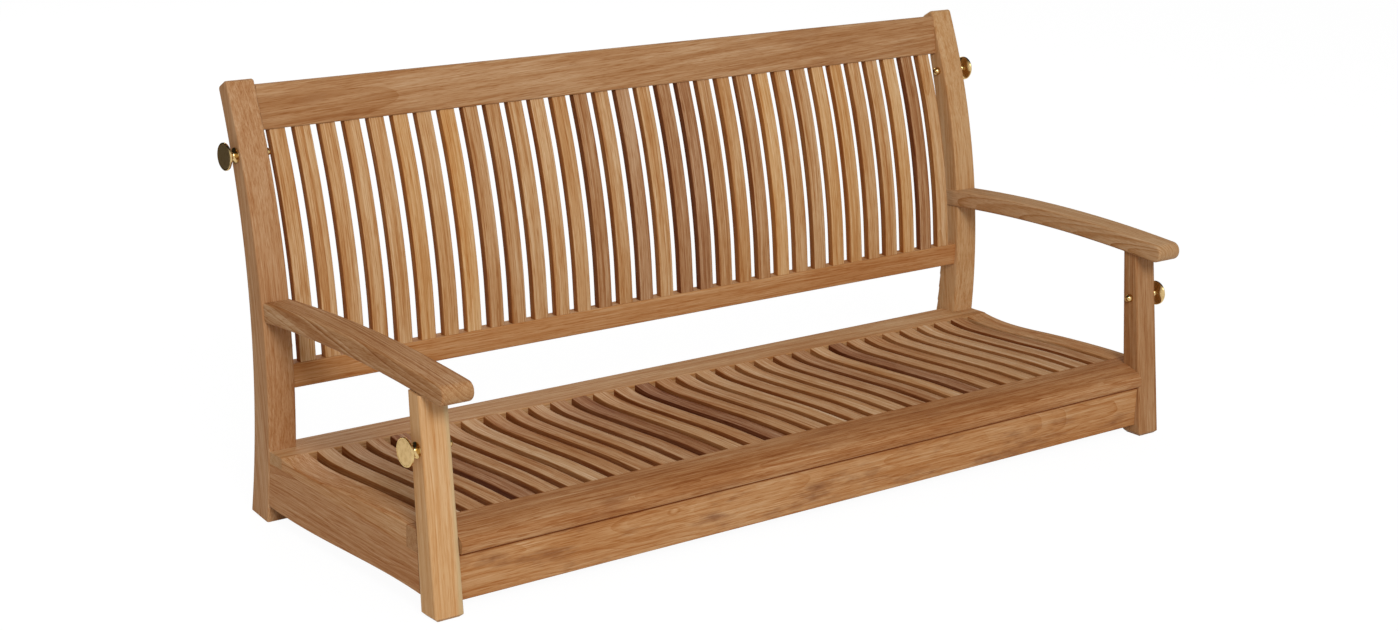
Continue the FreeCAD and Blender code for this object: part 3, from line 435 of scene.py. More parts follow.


@dataclass(frozen=True)
class Teak:
    """The look of one board, or of a set of slats sawn from many boards."""

    tone: Screen
    seed: float = 0.0
    ring_width: float = 5.0          # millimetres
    figure: float = 40.0             # how far the rings wander, in millimetres
    contrast: float = 1.0
    pith: tuple[float, float] = (70.0, 45.0)   # from the board's middle, in millimetres
    heart: float = 10000.0           # radius of the heartwood, in millimetres
    ring_strength: float = 0.3
    lean: tuple[float, float] = (0.0, 0.0)     # of the fibres out of the length, in degrees
    clouds: float = 0.0              # strength of dark mineral clouds
    knot: tuple[float, float] = (9000.0, 9000.0)   # above the middle and along, in millimetres
    knot_radius: float = 0.0         # millimetres
    painted_shadow_edge: float = 9000.0       # height below which the shadow of the board above is painted, in millimetres

    def material(self, name: str, grain: Grain, middle: Vector) -> bpy.types.Material:
        """Make the material of a board.

        Args:
            name: The material's name.
            grain: Which way its fibres run.
            middle: The middle of the board, in metres.

        Returns:
            The material.
        """
        material, sheet, shader = new_material(name)
        coordinates = sheet.add("ShaderNodeTexCoord").outputs
        turn = grain.turn(self.lean)
        turned = Vector(middle)
        turned.rotate(turn)
        pith = Vector((self.pith[0], self.pith[1], 0.0)) * MILLIMETRE
        shift = pith - Vector((turned.x, turned.y, 0.0))
        feeds = {"Vector": coordinates["Object"], "Rotation": turn, "Location": shift}
        place = sheet.add("ShaderNodeMapping", feeds).outputs["Vector"]
        feeds = {"Vector": coordinates["Normal"], "Rotation": turn}
        facing = sheet.add("ShaderNodeMapping", feeds, vector_type="VECTOR").outputs["Vector"]
        # Painted shadow: the face darkens just below the edge of the board above, where its
        # overhang casts shade.
        edge = self.painted_shadow_edge * MILLIMETRE
        ramp = (edge - PAINTED_SHADOW_REACH * MILLIMETRE, edge, 0.0, PAINTED_SHADOW_STRENGTH)
        shadow_under_board = sheet.span(sheet.parts(coordinates["Object"])["Z"], ramp)
        self.dress(sheet, shader, place, paint(*self.tone), facing, shadow_under_board)
        return material

    def dress(
        self, sheet: NodeSheet, shader: Node, place: object, tone: object,
        facing: object = (0.0, 0.0, 0.0), painted_shade: object = 0.0,
    ) -> None:
        """Feed a shader with this teak.

        Args:
            sheet: The material's nodes.
            shader: Its Principled BSDF.
            place: Coordinates with the fibres upright.
            tone: The wood's middle colour, plain or as a socket.
            facing: The surface's normal with the fibres upright, or none where no end shows.
            painted_shade: Painted shade, how much darker a place under a board above or at a
                slat's side is made than an open face.
        """
        knot = Vector((self.pith[0] + self.knot[0], 0.0, self.knot[1])) * MILLIMETRE
        feeds = {
            "Place": place,
            "Tone": tone,
            "Facing": facing,
            "Ring Width": self.ring_width * MILLIMETRE,
            "Figure": self.figure * MILLIMETRE,
            "Contrast": self.contrast,
            "Ring Strength": self.ring_strength,
            "Seed": self.seed,
            "Heart Radius": self.heart * MILLIMETRE,
            "Clouds": self.clouds,
            "Knot": knot,
            "Knot Radius": self.knot_radius * MILLIMETRE,
            "Painted Shade": painted_shade,
        }
        teak = sheet.add("ShaderNodeGroup", node_tree=TeakGroup.tree())
        sheet.feed(teak, feeds)
        grown = teak.outputs
        normal = sheet.bump(grown["Height"], FIBRE_BUMP, FIBRE_DEPTH)
        feeds = {"Base Color": grown["Color"], "Roughness": grown["Roughness"], "Normal": normal}
        sheet.feed(shader, feeds)
        shader.inputs["Specular IOR Level"].default_value = WOOD_SPECULAR


SAWN_APART = (0.14, 0.14, 9.0)      # how far apart in the wood two slats are, in metres
DARK_DRAW = 7.3                     # makes a draw of its own out of the slat's draw along X
DARK_RAMP = (0.0, 0.3, 1.0, 0.0)    # the slats whose own draw is low are dark
LIGHT_DRAW = 5.9
LIGHT_RAMP = (0.62, 1.0, 0.0, 1.0)


@dataclass(frozen=True)
class SlatTeak:
    """The teak of a set of slats, each from another board, by the slats' own attributes."""

    teak: Teak
    dark: Screen
    light: Screen
    painted_shade: float = 0.5                # painted shade: how much darker the slats' sides are made, for the shade between neighbouring slats

    def material(self, name: str, half_width: float) -> bpy.types.Material:
        """Make the material that all the slats of a set share.

        Args:
            name: The material's name.
            half_width: Half the width of a slat, in millimetres.

        Returns:
            The material.
        """
        material, sheet, shader = new_material(name)
        local = sheet.add("ShaderNodeAttribute", attribute_name=SlatTree.PLACE).outputs["Vector"]
        draw = sheet.add("ShaderNodeAttribute", attribute_name=SlatTree.DRAW).outputs["Vector"]
        place = sheet.along("ADD", local, sheet.along("MULTIPLY", draw, SAWN_APART))
        drawn = sheet.parts(draw)
        lot, other = (
            sheet.sum_up("FRACT", sheet.sum_up("MULTIPLY", drawn[axis], times))
            for axis, times in (("X", DARK_DRAW), ("Y", LIGHT_DRAW))
        )
        darker = sheet.span(lot, DARK_RAMP)
        tone = sheet.blend(darker, paint(*self.teak.tone), paint(*self.dark))
        paler = sheet.span(other, LIGHT_RAMP)
        tone = sheet.blend(paler, tone, paint(*self.light))
        # Painted shade: the slats' sides darken, standing in for the shade between neighbouring
        # slats.
        edge = half_width * MILLIMETRE
        ramp = (edge - SIDE_SHADE_REACH * MILLIMETRE, edge, 0.0, self.painted_shade)
        side = sheet.span(sheet.sum_up("ABSOLUTE", sheet.parts(local)["X"]), ramp)
        self.teak.dress(sheet, shader, place, tone, painted_shade=side)
        return material


BRASS_TARNISH = Fineness((160.0, 160.0, 160.0), 3.0, 0.6)
TARNISH_RAMP = (0.4, 0.75, 0.0, 1.0)
TARNISHED = (0.82, 0.78, 0.7, 1.0)          # what is left of each channel in the tarnish
LATHE_CUTS = 5200.0         # rings in a metre
LATHE_BUMP = 0.4


@dataclass(frozen=True)
class Brass:
    """A turned brass finish, with fine rings round the bobbin's axis."""

    colour: Screen
    roughness: float
    ring_depth: float = 0.0          # millimetres
    mottle: float = 0.0              # how much the tarnish changes the gloss
    rim: Screen = (245, 225, 190)    # the metal's colour at a grazing look

    def material(self, name: str, axis: Vector) -> bpy.types.Material:
        """Make the material of a turned piece.

        Args:
            name: The material's name.
            axis: A point on the piece's axis, which runs along X, in metres.

        Returns:
            The material.
        """
        material, sheet, shader = new_material(name)
        centre = (0.0, -axis.y, -axis.z)
        feeds = {"Vector": sheet.add("ShaderNodeTexCoord").outputs["Object"], "Location": centre}
        place = sheet.add("ShaderNodeMapping", feeds).outputs["Vector"]
        radius = sheet.along("LENGTH", sheet.along("MULTIPLY", place, (0.0, 1.0, 1.0)))
        cuts = sheet.wave(sheet.sum_up("MULTIPLY", radius, LATHE_CUTS))
        tarnish = sheet.noise(place, BRASS_TARNISH)
        metal = paint(*self.colour)
        aged = tuple(channel * share for channel, share in zip(metal, TARNISHED))
        colour = sheet.blend(sheet.span(tarnish, TARNISH_RAMP), metal, aged)
        gloss = sheet.sum_up("MULTIPLY", sheet.sum_up("SUBTRACT", tarnish, 0.5), self.mottle)
        gloss = sheet.sum_up("ADD", gloss, self.roughness)
        normal = sheet.bump(cuts, LATHE_BUMP, self.ring_depth)
        sheet.feed(shader, {"Base Color": colour, "Roughness": gloss, "Normal": normal})
        shader.inputs["Metallic"].default_value = 1.0
        shader.inputs["Specular Tint"].default_value = paint(*self.rim)
        return material


def new_material(name: str) -> tuple[bpy.types.Material, NodeSheet, Node]:
    """Start a material.

    Args:
        name: The material's name.

    Returns:
        The material, its nodes and its Principled BSDF.
    """
    material = bpy.data.materials.new(name)
    material.use_nodes = True
    sheet = NodeSheet(material.node_tree)
    return material, sheet, material.node_tree.nodes["Principled BSDF"]


class SlatTree:
    """The Geometry Nodes tree that sweeps one slat along its path and sets a row of them."""

    NAME = "row of slats"
    RUN = "run_of_slat"
    SECTION = "section_of_slat"
    PLACE = "place_in_slat"
    DRAW = "draw_of_slat"
    ROUNDING_STEPS = 3

    @classmethod
    def tree(cls) -> NodeTree:
        """Return the tree, built the first time it is asked for."""
        return bpy.data.node_groups.get(cls.NAME) or cls().build()

    def build(self) -> NodeTree:
        """Build the tree.

        Returns:
            The finished tree.
        """
        number, whole, geometry = "NodeSocketFloat", "NodeSocketInt", "NodeSocketGeometry"
        inputs = {
            "Path": geometry,
            "Slat Count": whole,
            "Slat Pitch": number,
            "Slat Width": number,
            "Slat Thickness": number,
            "Edge Rounding": number,
            "Rings": whole,
            "Seed": whole,
            "Teak": "NodeSocketMaterial",
        }
        tree = new_group(self.NAME, "GeometryNodeTree", inputs, {"Slats": geometry})
        sheet = NodeSheet(tree)
        given = sheet.add("NodeGroupInput").outputs
        one = self.one_slat(sheet, given)
        row = self.row(sheet, given, one)
        real = sheet.add("GeometryNodeRealizeInstances", {"Geometry": row}).outputs["Geometry"]
        feeds = {"Geometry": real, "Material": given["Teak"]}
        dressed = sheet.add("GeometryNodeSetMaterial", feeds).outputs["Geometry"]
        sheet.add("NodeGroupOutput", {"Slats": dressed})
        return tree

    def one_slat(self, sheet: NodeSheet, given: Outputs) -> Socket:
        """Sweep a slat's section along its path, and note each point's place in the slat.

        Args:
            sheet: The tree's nodes.
            given: The tree's inputs.

        Returns:
            The slat's geometry.
        """
        path = sheet.add("GeometryNodeMeshToCurve", {"Mesh": given["Path"]}).outputs["Curve"]
        smooth = sheet.add(
            "GeometryNodeCurveSplineType", {"Curve": path}, spline_type="CATMULL_ROM"
        ).outputs["Curve"]
        feeds = {"Curve": smooth, "Count": given["Rings"]}
        evenly = sheet.add("GeometryNodeResampleCurve", feeds).outputs["Curve"]
        feeds = {"Curve": evenly, "Normal": (1.0, 0.0, 0.0)}
        level = sheet.add("GeometryNodeSetCurveNormal", feeds, mode="FREE").outputs["Curve"]
        length = sheet.add("GeometryNodeSplineParameter").outputs["Length"]
        run = sheet.add("ShaderNodeCombineXYZ", {"Z": length}).outputs[0]
        measured = self.store(sheet, level, self.RUN, run)
        feeds = {"Width": given["Slat Width"], "Height": given["Slat Thickness"]}
        section = sheet.add(
            "GeometryNodeCurvePrimitiveQuadrilateral", feeds, mode="RECTANGLE"
        ).outputs["Curve"]
        eased = sheet.add("GeometryNodeFilletCurve", mode="POLY")
        feeds = {"Curve": section, "Count": self.ROUNDING_STEPS, "Radius": given["Edge Rounding"]}
        sheet.feed(eased, feeds)
        across = sheet.add("GeometryNodeInputPosition").outputs["Position"]
        section = self.store(sheet, eased.outputs["Curve"], self.SECTION, across)
        feeds = {"Curve": measured, "Profile Curve": section, "Fill Caps": True}
        swept = sheet.add("GeometryNodeCurveToMesh", feeds).outputs["Mesh"]
        place = sheet.along("ADD", self.kept(sheet, self.RUN), self.kept(sheet, self.SECTION))
        return self.store(sheet, swept, self.PLACE, place)

    def kept(self, sheet: NodeSheet, name: str) -> Socket:
        """Return the vector that was kept on the geometry under this name."""
        kind = "GeometryNodeInputNamedAttribute"
        return sheet.add(kind, {"Name": name}, data_type="FLOAT_VECTOR").outputs["Attribute"]

    def row(self, sheet: NodeSheet, given: Outputs, slat: Socket) -> Socket:
        """Set the slats in a row along the bench, each with its own random draw.

        Args:
            sheet: The tree's nodes.
            given: The tree's inputs.
            slat: One slat at the middle of the bench.

        Returns:
            The slats as instances.
        """
        gaps = sheet.sum_up("SUBTRACT", given["Slat Count"], 1.0)
        first = sheet.sum_up("MULTIPLY", sheet.sum_up("MULTIPLY", gaps, given["Slat Pitch"]), -0.5)
        start = sheet.add("ShaderNodeCombineXYZ", {"X": first}).outputs[0]
        step = sheet.add("ShaderNodeCombineXYZ", {"X": given["Slat Pitch"]}).outputs[0]
        feeds = {"Count": given["Slat Count"], "Start Location": start, "Offset": step}
        line = sheet.add("GeometryNodeMeshLine", mode="OFFSET", count_mode="TOTAL")
        sheet.feed(line, feeds)
        feeds = {"Points": line.outputs["Mesh"], "Instance": slat}
        slats = sheet.add("GeometryNodeInstanceOnPoints", feeds).outputs["Instances"]
        draw = sheet.add(
            "FunctionNodeRandomValue", {"Seed": given["Seed"]}, data_type="FLOAT_VECTOR"
        ).outputs["Value"]
        return self.store(sheet, slats, self.DRAW, draw, "INSTANCE")

    def store(
        self, sheet: NodeSheet, geometry: Socket, name: str, value: Socket, domain: str = "POINT"
    ) -> Socket:
        """Keep a vector on the geometry for the slats' material.

        Args:
            sheet: The tree's nodes.
            geometry: The geometry.
            name: The attribute's name.
            value: The vector.
            domain: What each value belongs to.

        Returns:
            The geometry with its attribute.
        """
        kind = "GeometryNodeStoreNamedAttribute"
        feeds = {"Geometry": geometry, "Name": name, "Value": value}
        return sheet.add(kind, feeds, data_type="FLOAT_VECTOR", domain=domain).outputs["Geometry"]


def body_of(node: str) -> str:
    """Return the name of the body that a CAD node belongs to."""
    bodies = frame["record"]["behaviour"]["bodies"]
    return next(name for name, nodes in bodies.items() if node in nodes)


def shade_by_angle(mesh: bpy.types.Mesh, crease: float) -> None:
    """Shade a mesh smooth, with the corners from this angle in degrees kept sharp."""
    mesh.polygons.foreach_set("use_smooth", [True] * len(mesh.polygons))
    mesh.set_sharp_from_angle(angle=math.radians(crease))


def finished(piece: bpy.types.Object, slot: Slot, *nodes: str) -> bpy.types.Object:
    """Let a piece ride with its body and stand for its CAD nodes.

    Args:
        piece: The piece.
        slot: The slot that its finish belongs to; not used.
        *nodes: The CAD nodes that it stands for.

    Returns:
        The piece.
    """
    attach(piece, body_of(nodes[0]))
    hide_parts(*nodes)
    faces = len(piece.data.polygons)
    log.info("%s: %d faces, stands for %d node(s)", piece.name, faces, len(nodes))
    return piece


def placed(name: str, data: bpy.types.ID) -> bpy.types.Object:
    """Put a new object into the scene.

    Args:
        name: Its name.
        data: Its mesh, camera or lamp.

    Returns:
        The object, at the origin.
    """
    piece = bpy.data.objects.new(name, data)
    bpy.context.collection.objects.link(piece)
    return piece


def merged_copy(
    node: str, name: str, material: bpy.types.Material, crease: float = BOARD_CREASE
) -> bpy.types.Object:
    """Make a piece from a CAD node's shape, its triangles joined and its curves shaded smooth.

    Args:
        node: The CAD node.
        name: The piece's name.
        material: Its material.
        crease: The angle from which a corner stays sharp, in degrees.

    Returns:
        The piece, at the origin.
    """
    shell = bmesh.new()
    shell.from_mesh(frame["nodes"][node].data)
    bmesh.ops.remove_doubles(shell, verts=shell.verts, dist=MERGE_DISTANCE)
    mesh = bpy.data.meshes.new(name)
    shell.to_mesh(mesh)
    shell.free()
    if "custom_normal" in mesh.attributes:
        mesh.attributes.remove(mesh.attributes["custom_normal"])
    mesh.materials.clear()
    mesh.materials.append(material)
    mesh.polygons.foreach_set("material_index", [0] * len(mesh.polygons))
    shade_by_angle(mesh, crease)
    return placed(name, mesh)


def titled(stuff: str, name: str) -> str:
    """Return a material's name from its stuff and the name of what it dresses."""
    return f"{stuff} of {name.replace('_', ' ')}"


def middle_of(node: str) -> Vector:
    """Return the middle of a CAD node's box, in metres."""
    low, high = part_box(node)
    return (Vector(low) + Vector(high)) / 2.0


@dataclass
class Boards:
    """The sawn boards of the bench that keep their CAD shape, by the name of their node."""

    grain: Grain
    teaks: dict[str, Teak]

    def build(self) -> None:
        """Make and dress each board."""
        for node, teak in self.teaks.items():
            material = teak.material(titled("teak", node), self.grain, middle_of(node))
            finished(merged_copy(node, f"{node}_wood", material), Slot.FRAME, node)


@dataclass
class SlatRow:
    """A row of equal slats between two boards. Sizes are in millimetres."""

    name: str
    slot: Slot
    finish: SlatTeak
    width: float
    thickness: float
    seed: int
    count: int = 32
    pitch: float = 44.0
    rounding: float = 1.6
    rings: int = 28

    def path(self) -> list[Vector]:
        """Return the points that the middle of a slat runs through, in metres."""
        raise NotImplementedError

    def nodes(self) -> list[str]:
        """Return the CAD nodes that the row stands for."""
        return sorted(node for node in frame["nodes"] if node.startswith(self.name))

    def build(self) -> None:
        """Sweep the slats with Geometry Nodes and keep them as one plain mesh."""
        points = self.path()
        steps = [(index, index + 1) for index in range(len(points) - 1)]
        carrier_mesh = bpy.data.meshes.new(f"{self.name}_path")
        carrier_mesh.from_pydata(points, steps, [])
        carrier = placed(f"{self.name}_path", carrier_mesh)
        modifier = carrier.modifiers.new("row of slats", "NODES")
        tree = SlatTree.tree()
        modifier.node_group = tree
        values = {
            "Slat Count": self.count,
            "Slat Pitch": self.pitch * MILLIMETRE,
            "Slat Width": self.width * MILLIMETRE,
            "Slat Thickness": self.thickness * MILLIMETRE,
            "Edge Rounding": self.rounding * MILLIMETRE,
            "Rings": self.rings,
            "Seed": self.seed,
            "Teak": self.finish.material(titled("teak", self.name), self.width / 2.0),
        }
        for item in tree.interface.items_tree:
            if item.in_out == "INPUT" and item.name in values:
                modifier[item.identifier] = values[item.name]
        graph = bpy.context.evaluated_depsgraph_get()
        mesh = bpy.data.meshes.new_from_object(
            carrier.evaluated_get(graph), preserve_all_data_layers=True, depsgraph=graph
        )
        bpy.data.objects.remove(carrier)
        mesh.name = f"{self.name}_row"
        shade_by_angle(mesh, SLAT_CREASE)
        finished(placed(f"{self.name}_row", mesh), self.slot, *self.nodes())


@dataclass
class BackRow(SlatRow):
    """The slats of the back, bent to one radius between the lower and the upper rail."""

    sweep_radius: float = 1240.0
    foremost_depth: float = 225.5    # of the front face, behind the arms' crown
    foremost_height: float = 142.0
    bottom: float = 249.5
    top: float = 604.0
    steps: int = 4

    def path(self) -> list[Vector]:
        """Find a few points on the arc through the middle of a slat.

        Returns:
            The points from the bottom up, in metres.
        """
        middle = self.sweep_radius - self.thickness / 2.0
        points = []
        for step in range(self.steps + 1):
            height = self.bottom + (self.top - self.bottom) * step / self.steps
            rise = height - self.foremost_height
            depth = self.foremost_depth + self.sweep_radius - math.sqrt(middle ** 2 - rise ** 2)
            points.append(Vector((0.0, depth + CENTRING, height)) * MILLIMETRE)
        return points


@dataclass
class SeatRow(SlatRow):
    """The slats of the seat, dished between its front and its rear board."""

    front: tuple[float, float] = (-176.0, 124.5)
    crown: tuple[float, float] = (-85.0, 123.6)
    middle: tuple[float, float] = (20.0, 118.3)
    hollow: tuple[float, float] = (135.0, 113.8)
    rear: tuple[float, float] = (184.0, 119.1)

    def path(self) -> list[Vector]:
        """Find the points that shape the seat, at half the slats' thickness.

        Returns:
            The points from the front to the rear, in metres.
        """
        drop = self.thickness / 2.0
        tops = (self.front, self.crown, self.middle, self.hollow, self.rear)
        return [
            Vector((0.0, depth + CENTRING, height - drop)) * MILLIMETRE for depth, height in tops
        ]


@dataclass
class Bobbins:
    """The turned brass bobbins with their caps, their bolts and their nuts."""

    cone: Brass = Brass((212, 182, 128), roughness=0.16, ring_depth=0.004, mottle=0.12)
    disc: Brass = Brass(
        (214, 184, 134), roughness=0.36, ring_depth=0.01, mottle=0.15, rim=(240, 215, 180)
    )
    dome: Brass = Brass((206, 174, 118), roughness=0.18, mottle=0.1)

    def build(self) -> None:
        """Make and dress each brass piece."""
        for row in ("front", "rear"):
            for side in ("left", "right"):
                self.dress(f"bobbin_{row}_{side}", self.cone)
                self.dress(f"bobbin_cap_{row}_{side}", self.disc)
        self.dress("bobbin_bolts", self.dome)
        self.dress("domed_nuts", self.dome)

    def dress(self, node: str, brass: Brass) -> None:
        """Make one brass piece from its CAD node, with this finish."""
        material = brass.material(titled("brass", node), middle_of(node))
        finished(merged_copy(node, f"{node}_brass", material, BRASS_CREASE), Slot.BRASS, node)


@dataclass
class Pegs:
    """The pegs and dowels that hold the joints, with end grain where they show."""

    teak: Teak = Teak(
        (150, 108, 72), 9.0, ring_width=1.2, figure=3.0, contrast=1.2, pith=(2.0, 1.0)
    )

    def build(self) -> None:
        """Make and dress the pegs, which run front to back, and the upright dowels."""
        for node, grain in (("joint_pegs", Grain.FRONT_TO_BACK), ("seat_dowels", Grain.UPRIGHT)):
            material = self.teak.material(titled("teak", node), grain, middle_of(node))
            finished(merged_copy(node, f"{node}_wood", material), Slot.PEGS, node)


@dataclass
class View:
    """The camera of the photograph, in millimetres, and in pixels within the photograph."""

    place: Triple = (-2405.7, -2833.27 + CENTRING, 1314.71)
    yaw: float = 37.95               # from +Y towards +X, in degrees
    pitch: float = 16.96             # down
    roll: float = 1.38
    focal_pixels: float = 2352.07
    middle_pixel: tuple[float, float] = (648.17, 366.15)
    picture: tuple[float, float] = (1398.0, 631.0)
    sensor: float = 36.0
    reach: float = 100.0             # metres

    def build(self) -> None:
        """Set the scene's camera."""
        yaw, pitch, roll = (math.radians(angle) for angle in (self.yaw, self.pitch, self.roll))
        onward = math.cos(pitch)
        ahead = Vector((math.sin(yaw) * onward, math.cos(yaw) * onward, -math.sin(pitch)))
        level = Vector((math.cos(yaw), -math.sin(yaw), 0.0))
        upright = level.cross(ahead)
        right = level * math.cos(roll) + upright * math.sin(roll)
        up = upright * math.cos(roll) - level * math.sin(roll)
        camera = bpy.data.cameras.new("photo view")
        width, height = self.picture
        camera.sensor_width = self.sensor
        camera.lens = self.focal_pixels / width * self.sensor
        camera.shift_x = (width / 2.0 - self.middle_pixel[0]) / width
        camera.shift_y = (self.middle_pixel[1] - height / 2.0) / width
        camera.clip_end = self.reach
        holder = placed("photo view", camera)
        turn = Matrix((right, up, -ahead)).transposed()
        holder.matrix_world = Matrix.Translation(Vector(self.place) * MILLIMETRE) @ turn.to_4x4()
        bpy.context.scene.camera = holder
        log.info("camera: lens %.1f mm", camera.lens)


@dataclass(frozen=True)
class SoftBox:
    """A large soft lamp. Lengths are in metres."""

    name: str
    place: Triple
    width: float
    watts: float
    target: Triple = (0.0, 0.0, 0.3)

    def build(self) -> None:
        """Hang the lamp and turn it to its target."""
        lamp = bpy.data.lights.new(self.name, "AREA")
        lamp.shape = "SQUARE"
        lamp.size = self.width
        lamp.energy = self.watts
        holder = placed(self.name, lamp)
        holder.location = self.place
        aim = Vector(self.target) - Vector(self.place)
        holder.rotation_euler = aim.to_track_quat("-Z", "Y").to_euler()


@dataclass
class Studio:
    """The pale floor, the white surroundings and the soft lamps."""

    floor_size: float = 40.0
    sky: float = 0.45
    dim_share: float = 0.02          # how bright the ceiling and the back look in the brass
    dim_way: Triple = (0.2, 0.75, 0.63)        # towards the dim part of the surroundings
    dim_reach: tuple[float, float] = (-0.35, 0.45)     # how squarely they face it
    dim_floor: tuple[float, float] = (0.7, 1.4)    # Y where the floor turns dim in the brass
    grey: float = 0.72               # the floor's own colour
    dullness: float = 0.9            # its roughness
    glow: float = 1.06               # the floor's white to the camera
    shadow_share: float = 0.1        # how much of the floor's own shadow the camera sees
    lamps: tuple[SoftBox, ...] = (
        SoftBox("front soft box", (-2.9, -6.7, 5.0), 2.8, 390.0),
        SoftBox("back soft box", (1.6, 4.2, 2.8), 2.4, 50.0),
    )

    def build(self) -> None:
        """Set the view transform and make the lamps, the world and the floor."""
        bpy.context.scene.view_settings.view_transform = "Standard"
        for lamp in self.lamps:
            lamp.build()
        self.surroundings()
        self.floor()
        log.info("studio: %d lamps", len(self.lamps))

    def surroundings(self) -> None:
        """Light the scene softly from all sides, and show white to the camera and in the brass."""
        world = bpy.data.worlds.new("studio")
        bpy.context.scene.world = world
        world.use_nodes = True
        sheet = NodeSheet(world.node_tree)
        background = world.node_tree.nodes["Background"]
        background.inputs["Color"].default_value = (1.0, 1.0, 1.0, 1.0)
        path = sheet.add("ShaderNodeLightPath").outputs
        way = sheet.add("ShaderNodeTexCoord").outputs["Generated"]
        dimness = sheet.along("DOT_PRODUCT", way, self.dim_way)
        walls = sheet.span(dimness, (*self.dim_reach, 1.0, self.dim_share))
        straight = sheet.sum_up("MAXIMUM", path["Is Camera Ray"], path["Is Transmission Ray"])
        seen = sheet.sum_up("MAXIMUM", straight, path["Is Glossy Ray"])
        mirrored = sheet.sum_up("MULTIPLY", path["Is Glossy Ray"], walls)
        shown = sheet.sum_up("MAXIMUM", straight, mirrored)
        light = sheet.sum_up("MULTIPLY", sheet.sum_up("SUBTRACT", 1.0, seen), self.sky)
        sheet.wire(sheet.sum_up("ADD", shown, light), background.inputs["Strength"])

    def floor(self) -> None:
        """Lay the floor, white to the camera but for a faint shadow."""
        half = self.floor_size / 2.0
        mesh = bpy.data.meshes.new("floor")
        corners = [(-half, -half, 0.0), (half, -half, 0.0), (half, half, 0.0), (-half, half, 0.0)]
        mesh.from_pydata(corners, [], [(0, 1, 2, 3)])
        floor = placed("floor", mesh)
        material, sheet, shader = new_material("pale floor")
        shader.inputs["Base Color"].default_value = (self.grey, self.grey, self.grey, 1.0)
        shader.inputs["Roughness"].default_value = self.dullness
        path = sheet.add("ShaderNodeLightPath").outputs
        seen = sheet.sum_up("MAXIMUM", path["Is Camera Ray"], path["Is Glossy Ray"])
        depth = sheet.parts(sheet.add("ShaderNodeTexCoord").outputs["Object"])["Y"]
        back = sheet.span(depth, (*self.dim_floor, 0.0, 1.0 - self.dim_share))
        dimmed = sheet.sum_up("MULTIPLY", path["Is Glossy Ray"], back)
        lit = sheet.sum_up("MULTIPLY", sheet.sum_up("SUBTRACT", 1.0, dimmed), self.glow)
        glow = sheet.add("ShaderNodeEmission", {"Strength": lit}).outputs["Emission"]
        share = sheet.sum_up("MULTIPLY", seen, 1.0 - self.shadow_share)
        mix = sheet.add("ShaderNodeMixShader", {0: share, 1: shader.outputs["BSDF"], 2: glow})
        output = material.node_tree.nodes["Material Output"]
        sheet.feed(output, {"Surface": mix.outputs["Shader"]})
        mesh.materials.append(material)


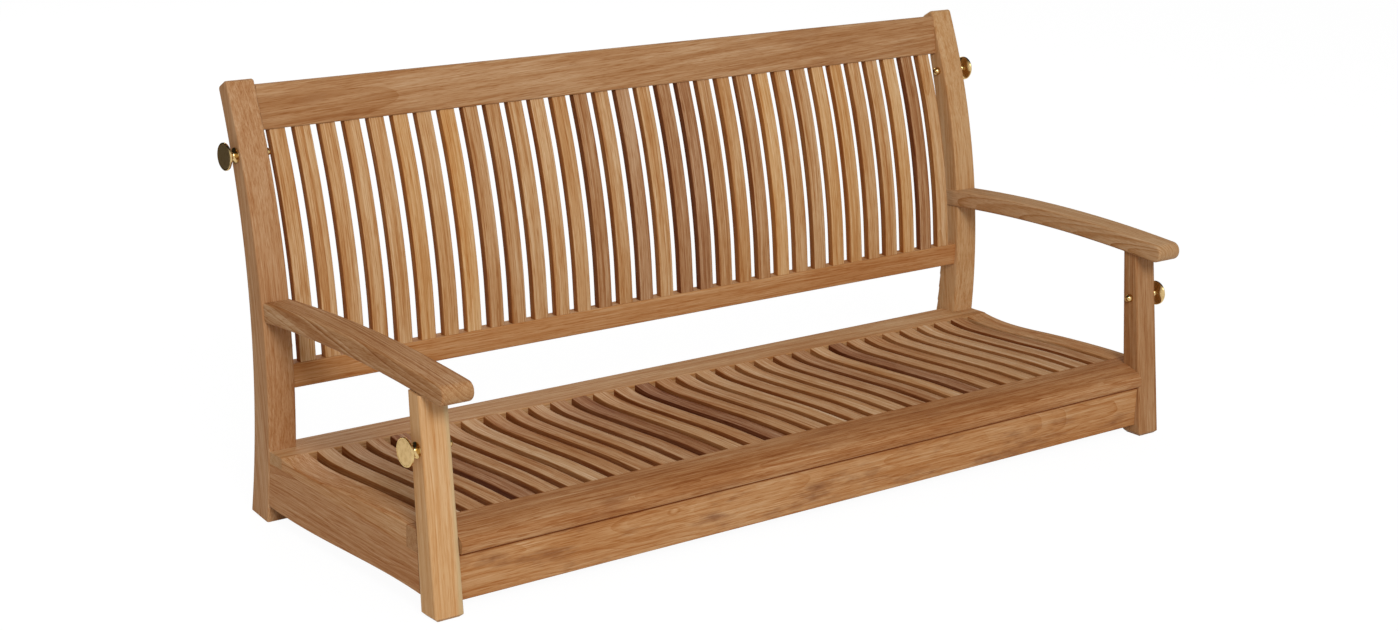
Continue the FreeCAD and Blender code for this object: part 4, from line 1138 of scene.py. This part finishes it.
def boards() -> list[Boards]:
    """List the bench's boards by the way their fibres run.

    Returns:
        The boards, each with its teak.
    """
    rails = {
        "top_rail": Teak(
            (171, 125, 83), 1.0, ring_width=7.0, figure=26.0, pith=(30.0, 95.0),
            lean=(0.0, 2.5), clouds=0.2,
        ),
        "lower_back_rail": Teak(
            (183, 130, 81), 2.0, ring_width=4.5, figure=20.0, pith=(60.0, 50.0)
        ),
        "rear_seat_board": Teak(
            (182, 135, 89), 3.0, ring_width=4.0, figure=16.0, contrast=1.2, pith=(80.0, 40.0)
        ),
        "seat_nosing": Teak(
            (168, 117, 73), 4.0, ring_width=4.0, figure=22.0, contrast=1.3, pith=(50.0, 60.0),
            clouds=0.4,
        ),
        "front_apron": Teak(
            (181, 129, 81), 5.4, figure=45.0, contrast=1.1, pith=(20.0, 80.0),
            # a shadow of the nosing is painted on the apron's face just below 88.5 mm
            clouds=0.8, knot=(-19.0, -326.0), knot_radius=5.0, painted_shadow_edge=88.5,
        ),
        "rear_apron": Teak((175, 125, 80), 6.0, pith=(25.0, 85.0)),
    }
    sides = {
        "arm_left": Teak(
            (178, 132, 89), 11.0, ring_width=5.5, figure=10.0, pith=(-60.0, 40.0),
            ring_strength=0.8, lean=(0.0, -4.0),
        ),
        "arm_right": Teak(
            (186, 145, 103), 12.0, ring_width=5.5, figure=8.0, contrast=0.8, pith=(55.0, -10.0),
            ring_strength=0.9, lean=(0.0, 4.0),
        ),
        "seat_end_board_left": Teak(
            (188, 139, 93), 13.0, ring_width=4.0, figure=24.0, contrast=1.3,
            pith=(-60.0, -40.0), heart=99.0,
        ),
        "seat_end_board_right": Teak(
            (185, 137, 91), 14.0, ring_width=4.0, figure=24.0, contrast=1.3, pith=(60.0, 40.0)
        ),
        "side_rail_left": Teak((177, 125, 80), 15.0, contrast=1.1, pith=(90.0, 30.0)),
        "side_rail_right": Teak((175, 124, 78), 16.0, contrast=1.1, pith=(90.0, 30.0)),
        "middle_bearer": Teak((166, 122, 84), 17.0, pith=(90.0, 30.0)),
    }
    rear_posts = {
        "rear_post_left": Teak(
            (176, 129, 87), 21.0, figure=16.0, contrast=0.9, pith=(70.0, 60.0), lean=(9.0, 0.0)
        ),
        "rear_post_right": Teak(
            (189, 144, 97), 22.0, figure=16.0, contrast=0.9, pith=(65.0, 70.0), lean=(9.0, 0.0)
        ),
    }
    front_posts = {
        "front_post_left": Teak(
            (204, 157, 107), 23.0, figure=20.0, contrast=0.9, pith=(70.0, -50.0), heart=106.0
        ),
        "front_post_right": Teak((167, 122, 81), 24.0, figure=24.0, pith=(60.0, 60.0)),
    }
    return [
        Boards(Grain.ALONG_BENCH, rails),
        Boards(Grain.FRONT_TO_BACK, sides),
        Boards(Grain.UPRIGHT, rear_posts),
        Boards(Grain.LEANING_BACK, front_posts),
    ]


def slat_rows() -> list[SlatRow]:
    """List the rows of slats.

    Returns:
        The slats of the back and of the seat.
    """
    back_teak = Teak((192, 147, 100), 31.0, ring_width=4.5, figure=12.0, contrast=1.5)
    seat_teak = Teak((185, 140, 98), 32.0, ring_width=4.5, figure=12.0, contrast=1.5)
    back = SlatTeak(back_teak, dark=(165, 120, 83), light=(205, 159, 106))
    seat = SlatTeak(seat_teak, dark=(156, 110, 77), light=(196, 155, 113))
    return [
        BackRow("back_slats", Slot.BACK_SLATS, back, width=28.0, thickness=13.0, seed=1242),
        SeatRow("seat_slats", Slot.SEAT_SLATS, seat, width=30.0, thickness=15.0, seed=1350),
    ]


def main() -> None:
    """Dress the bench and light it."""
    logging.basicConfig(level=logging.INFO, format="%(message)s")
    View().build()
    Studio().build()
    for group in boards():
        group.build()
    for row in slat_rows():
        row.build()
    Bobbins().build()
    Pegs().build()


if __name__ == "__main__":
    main()
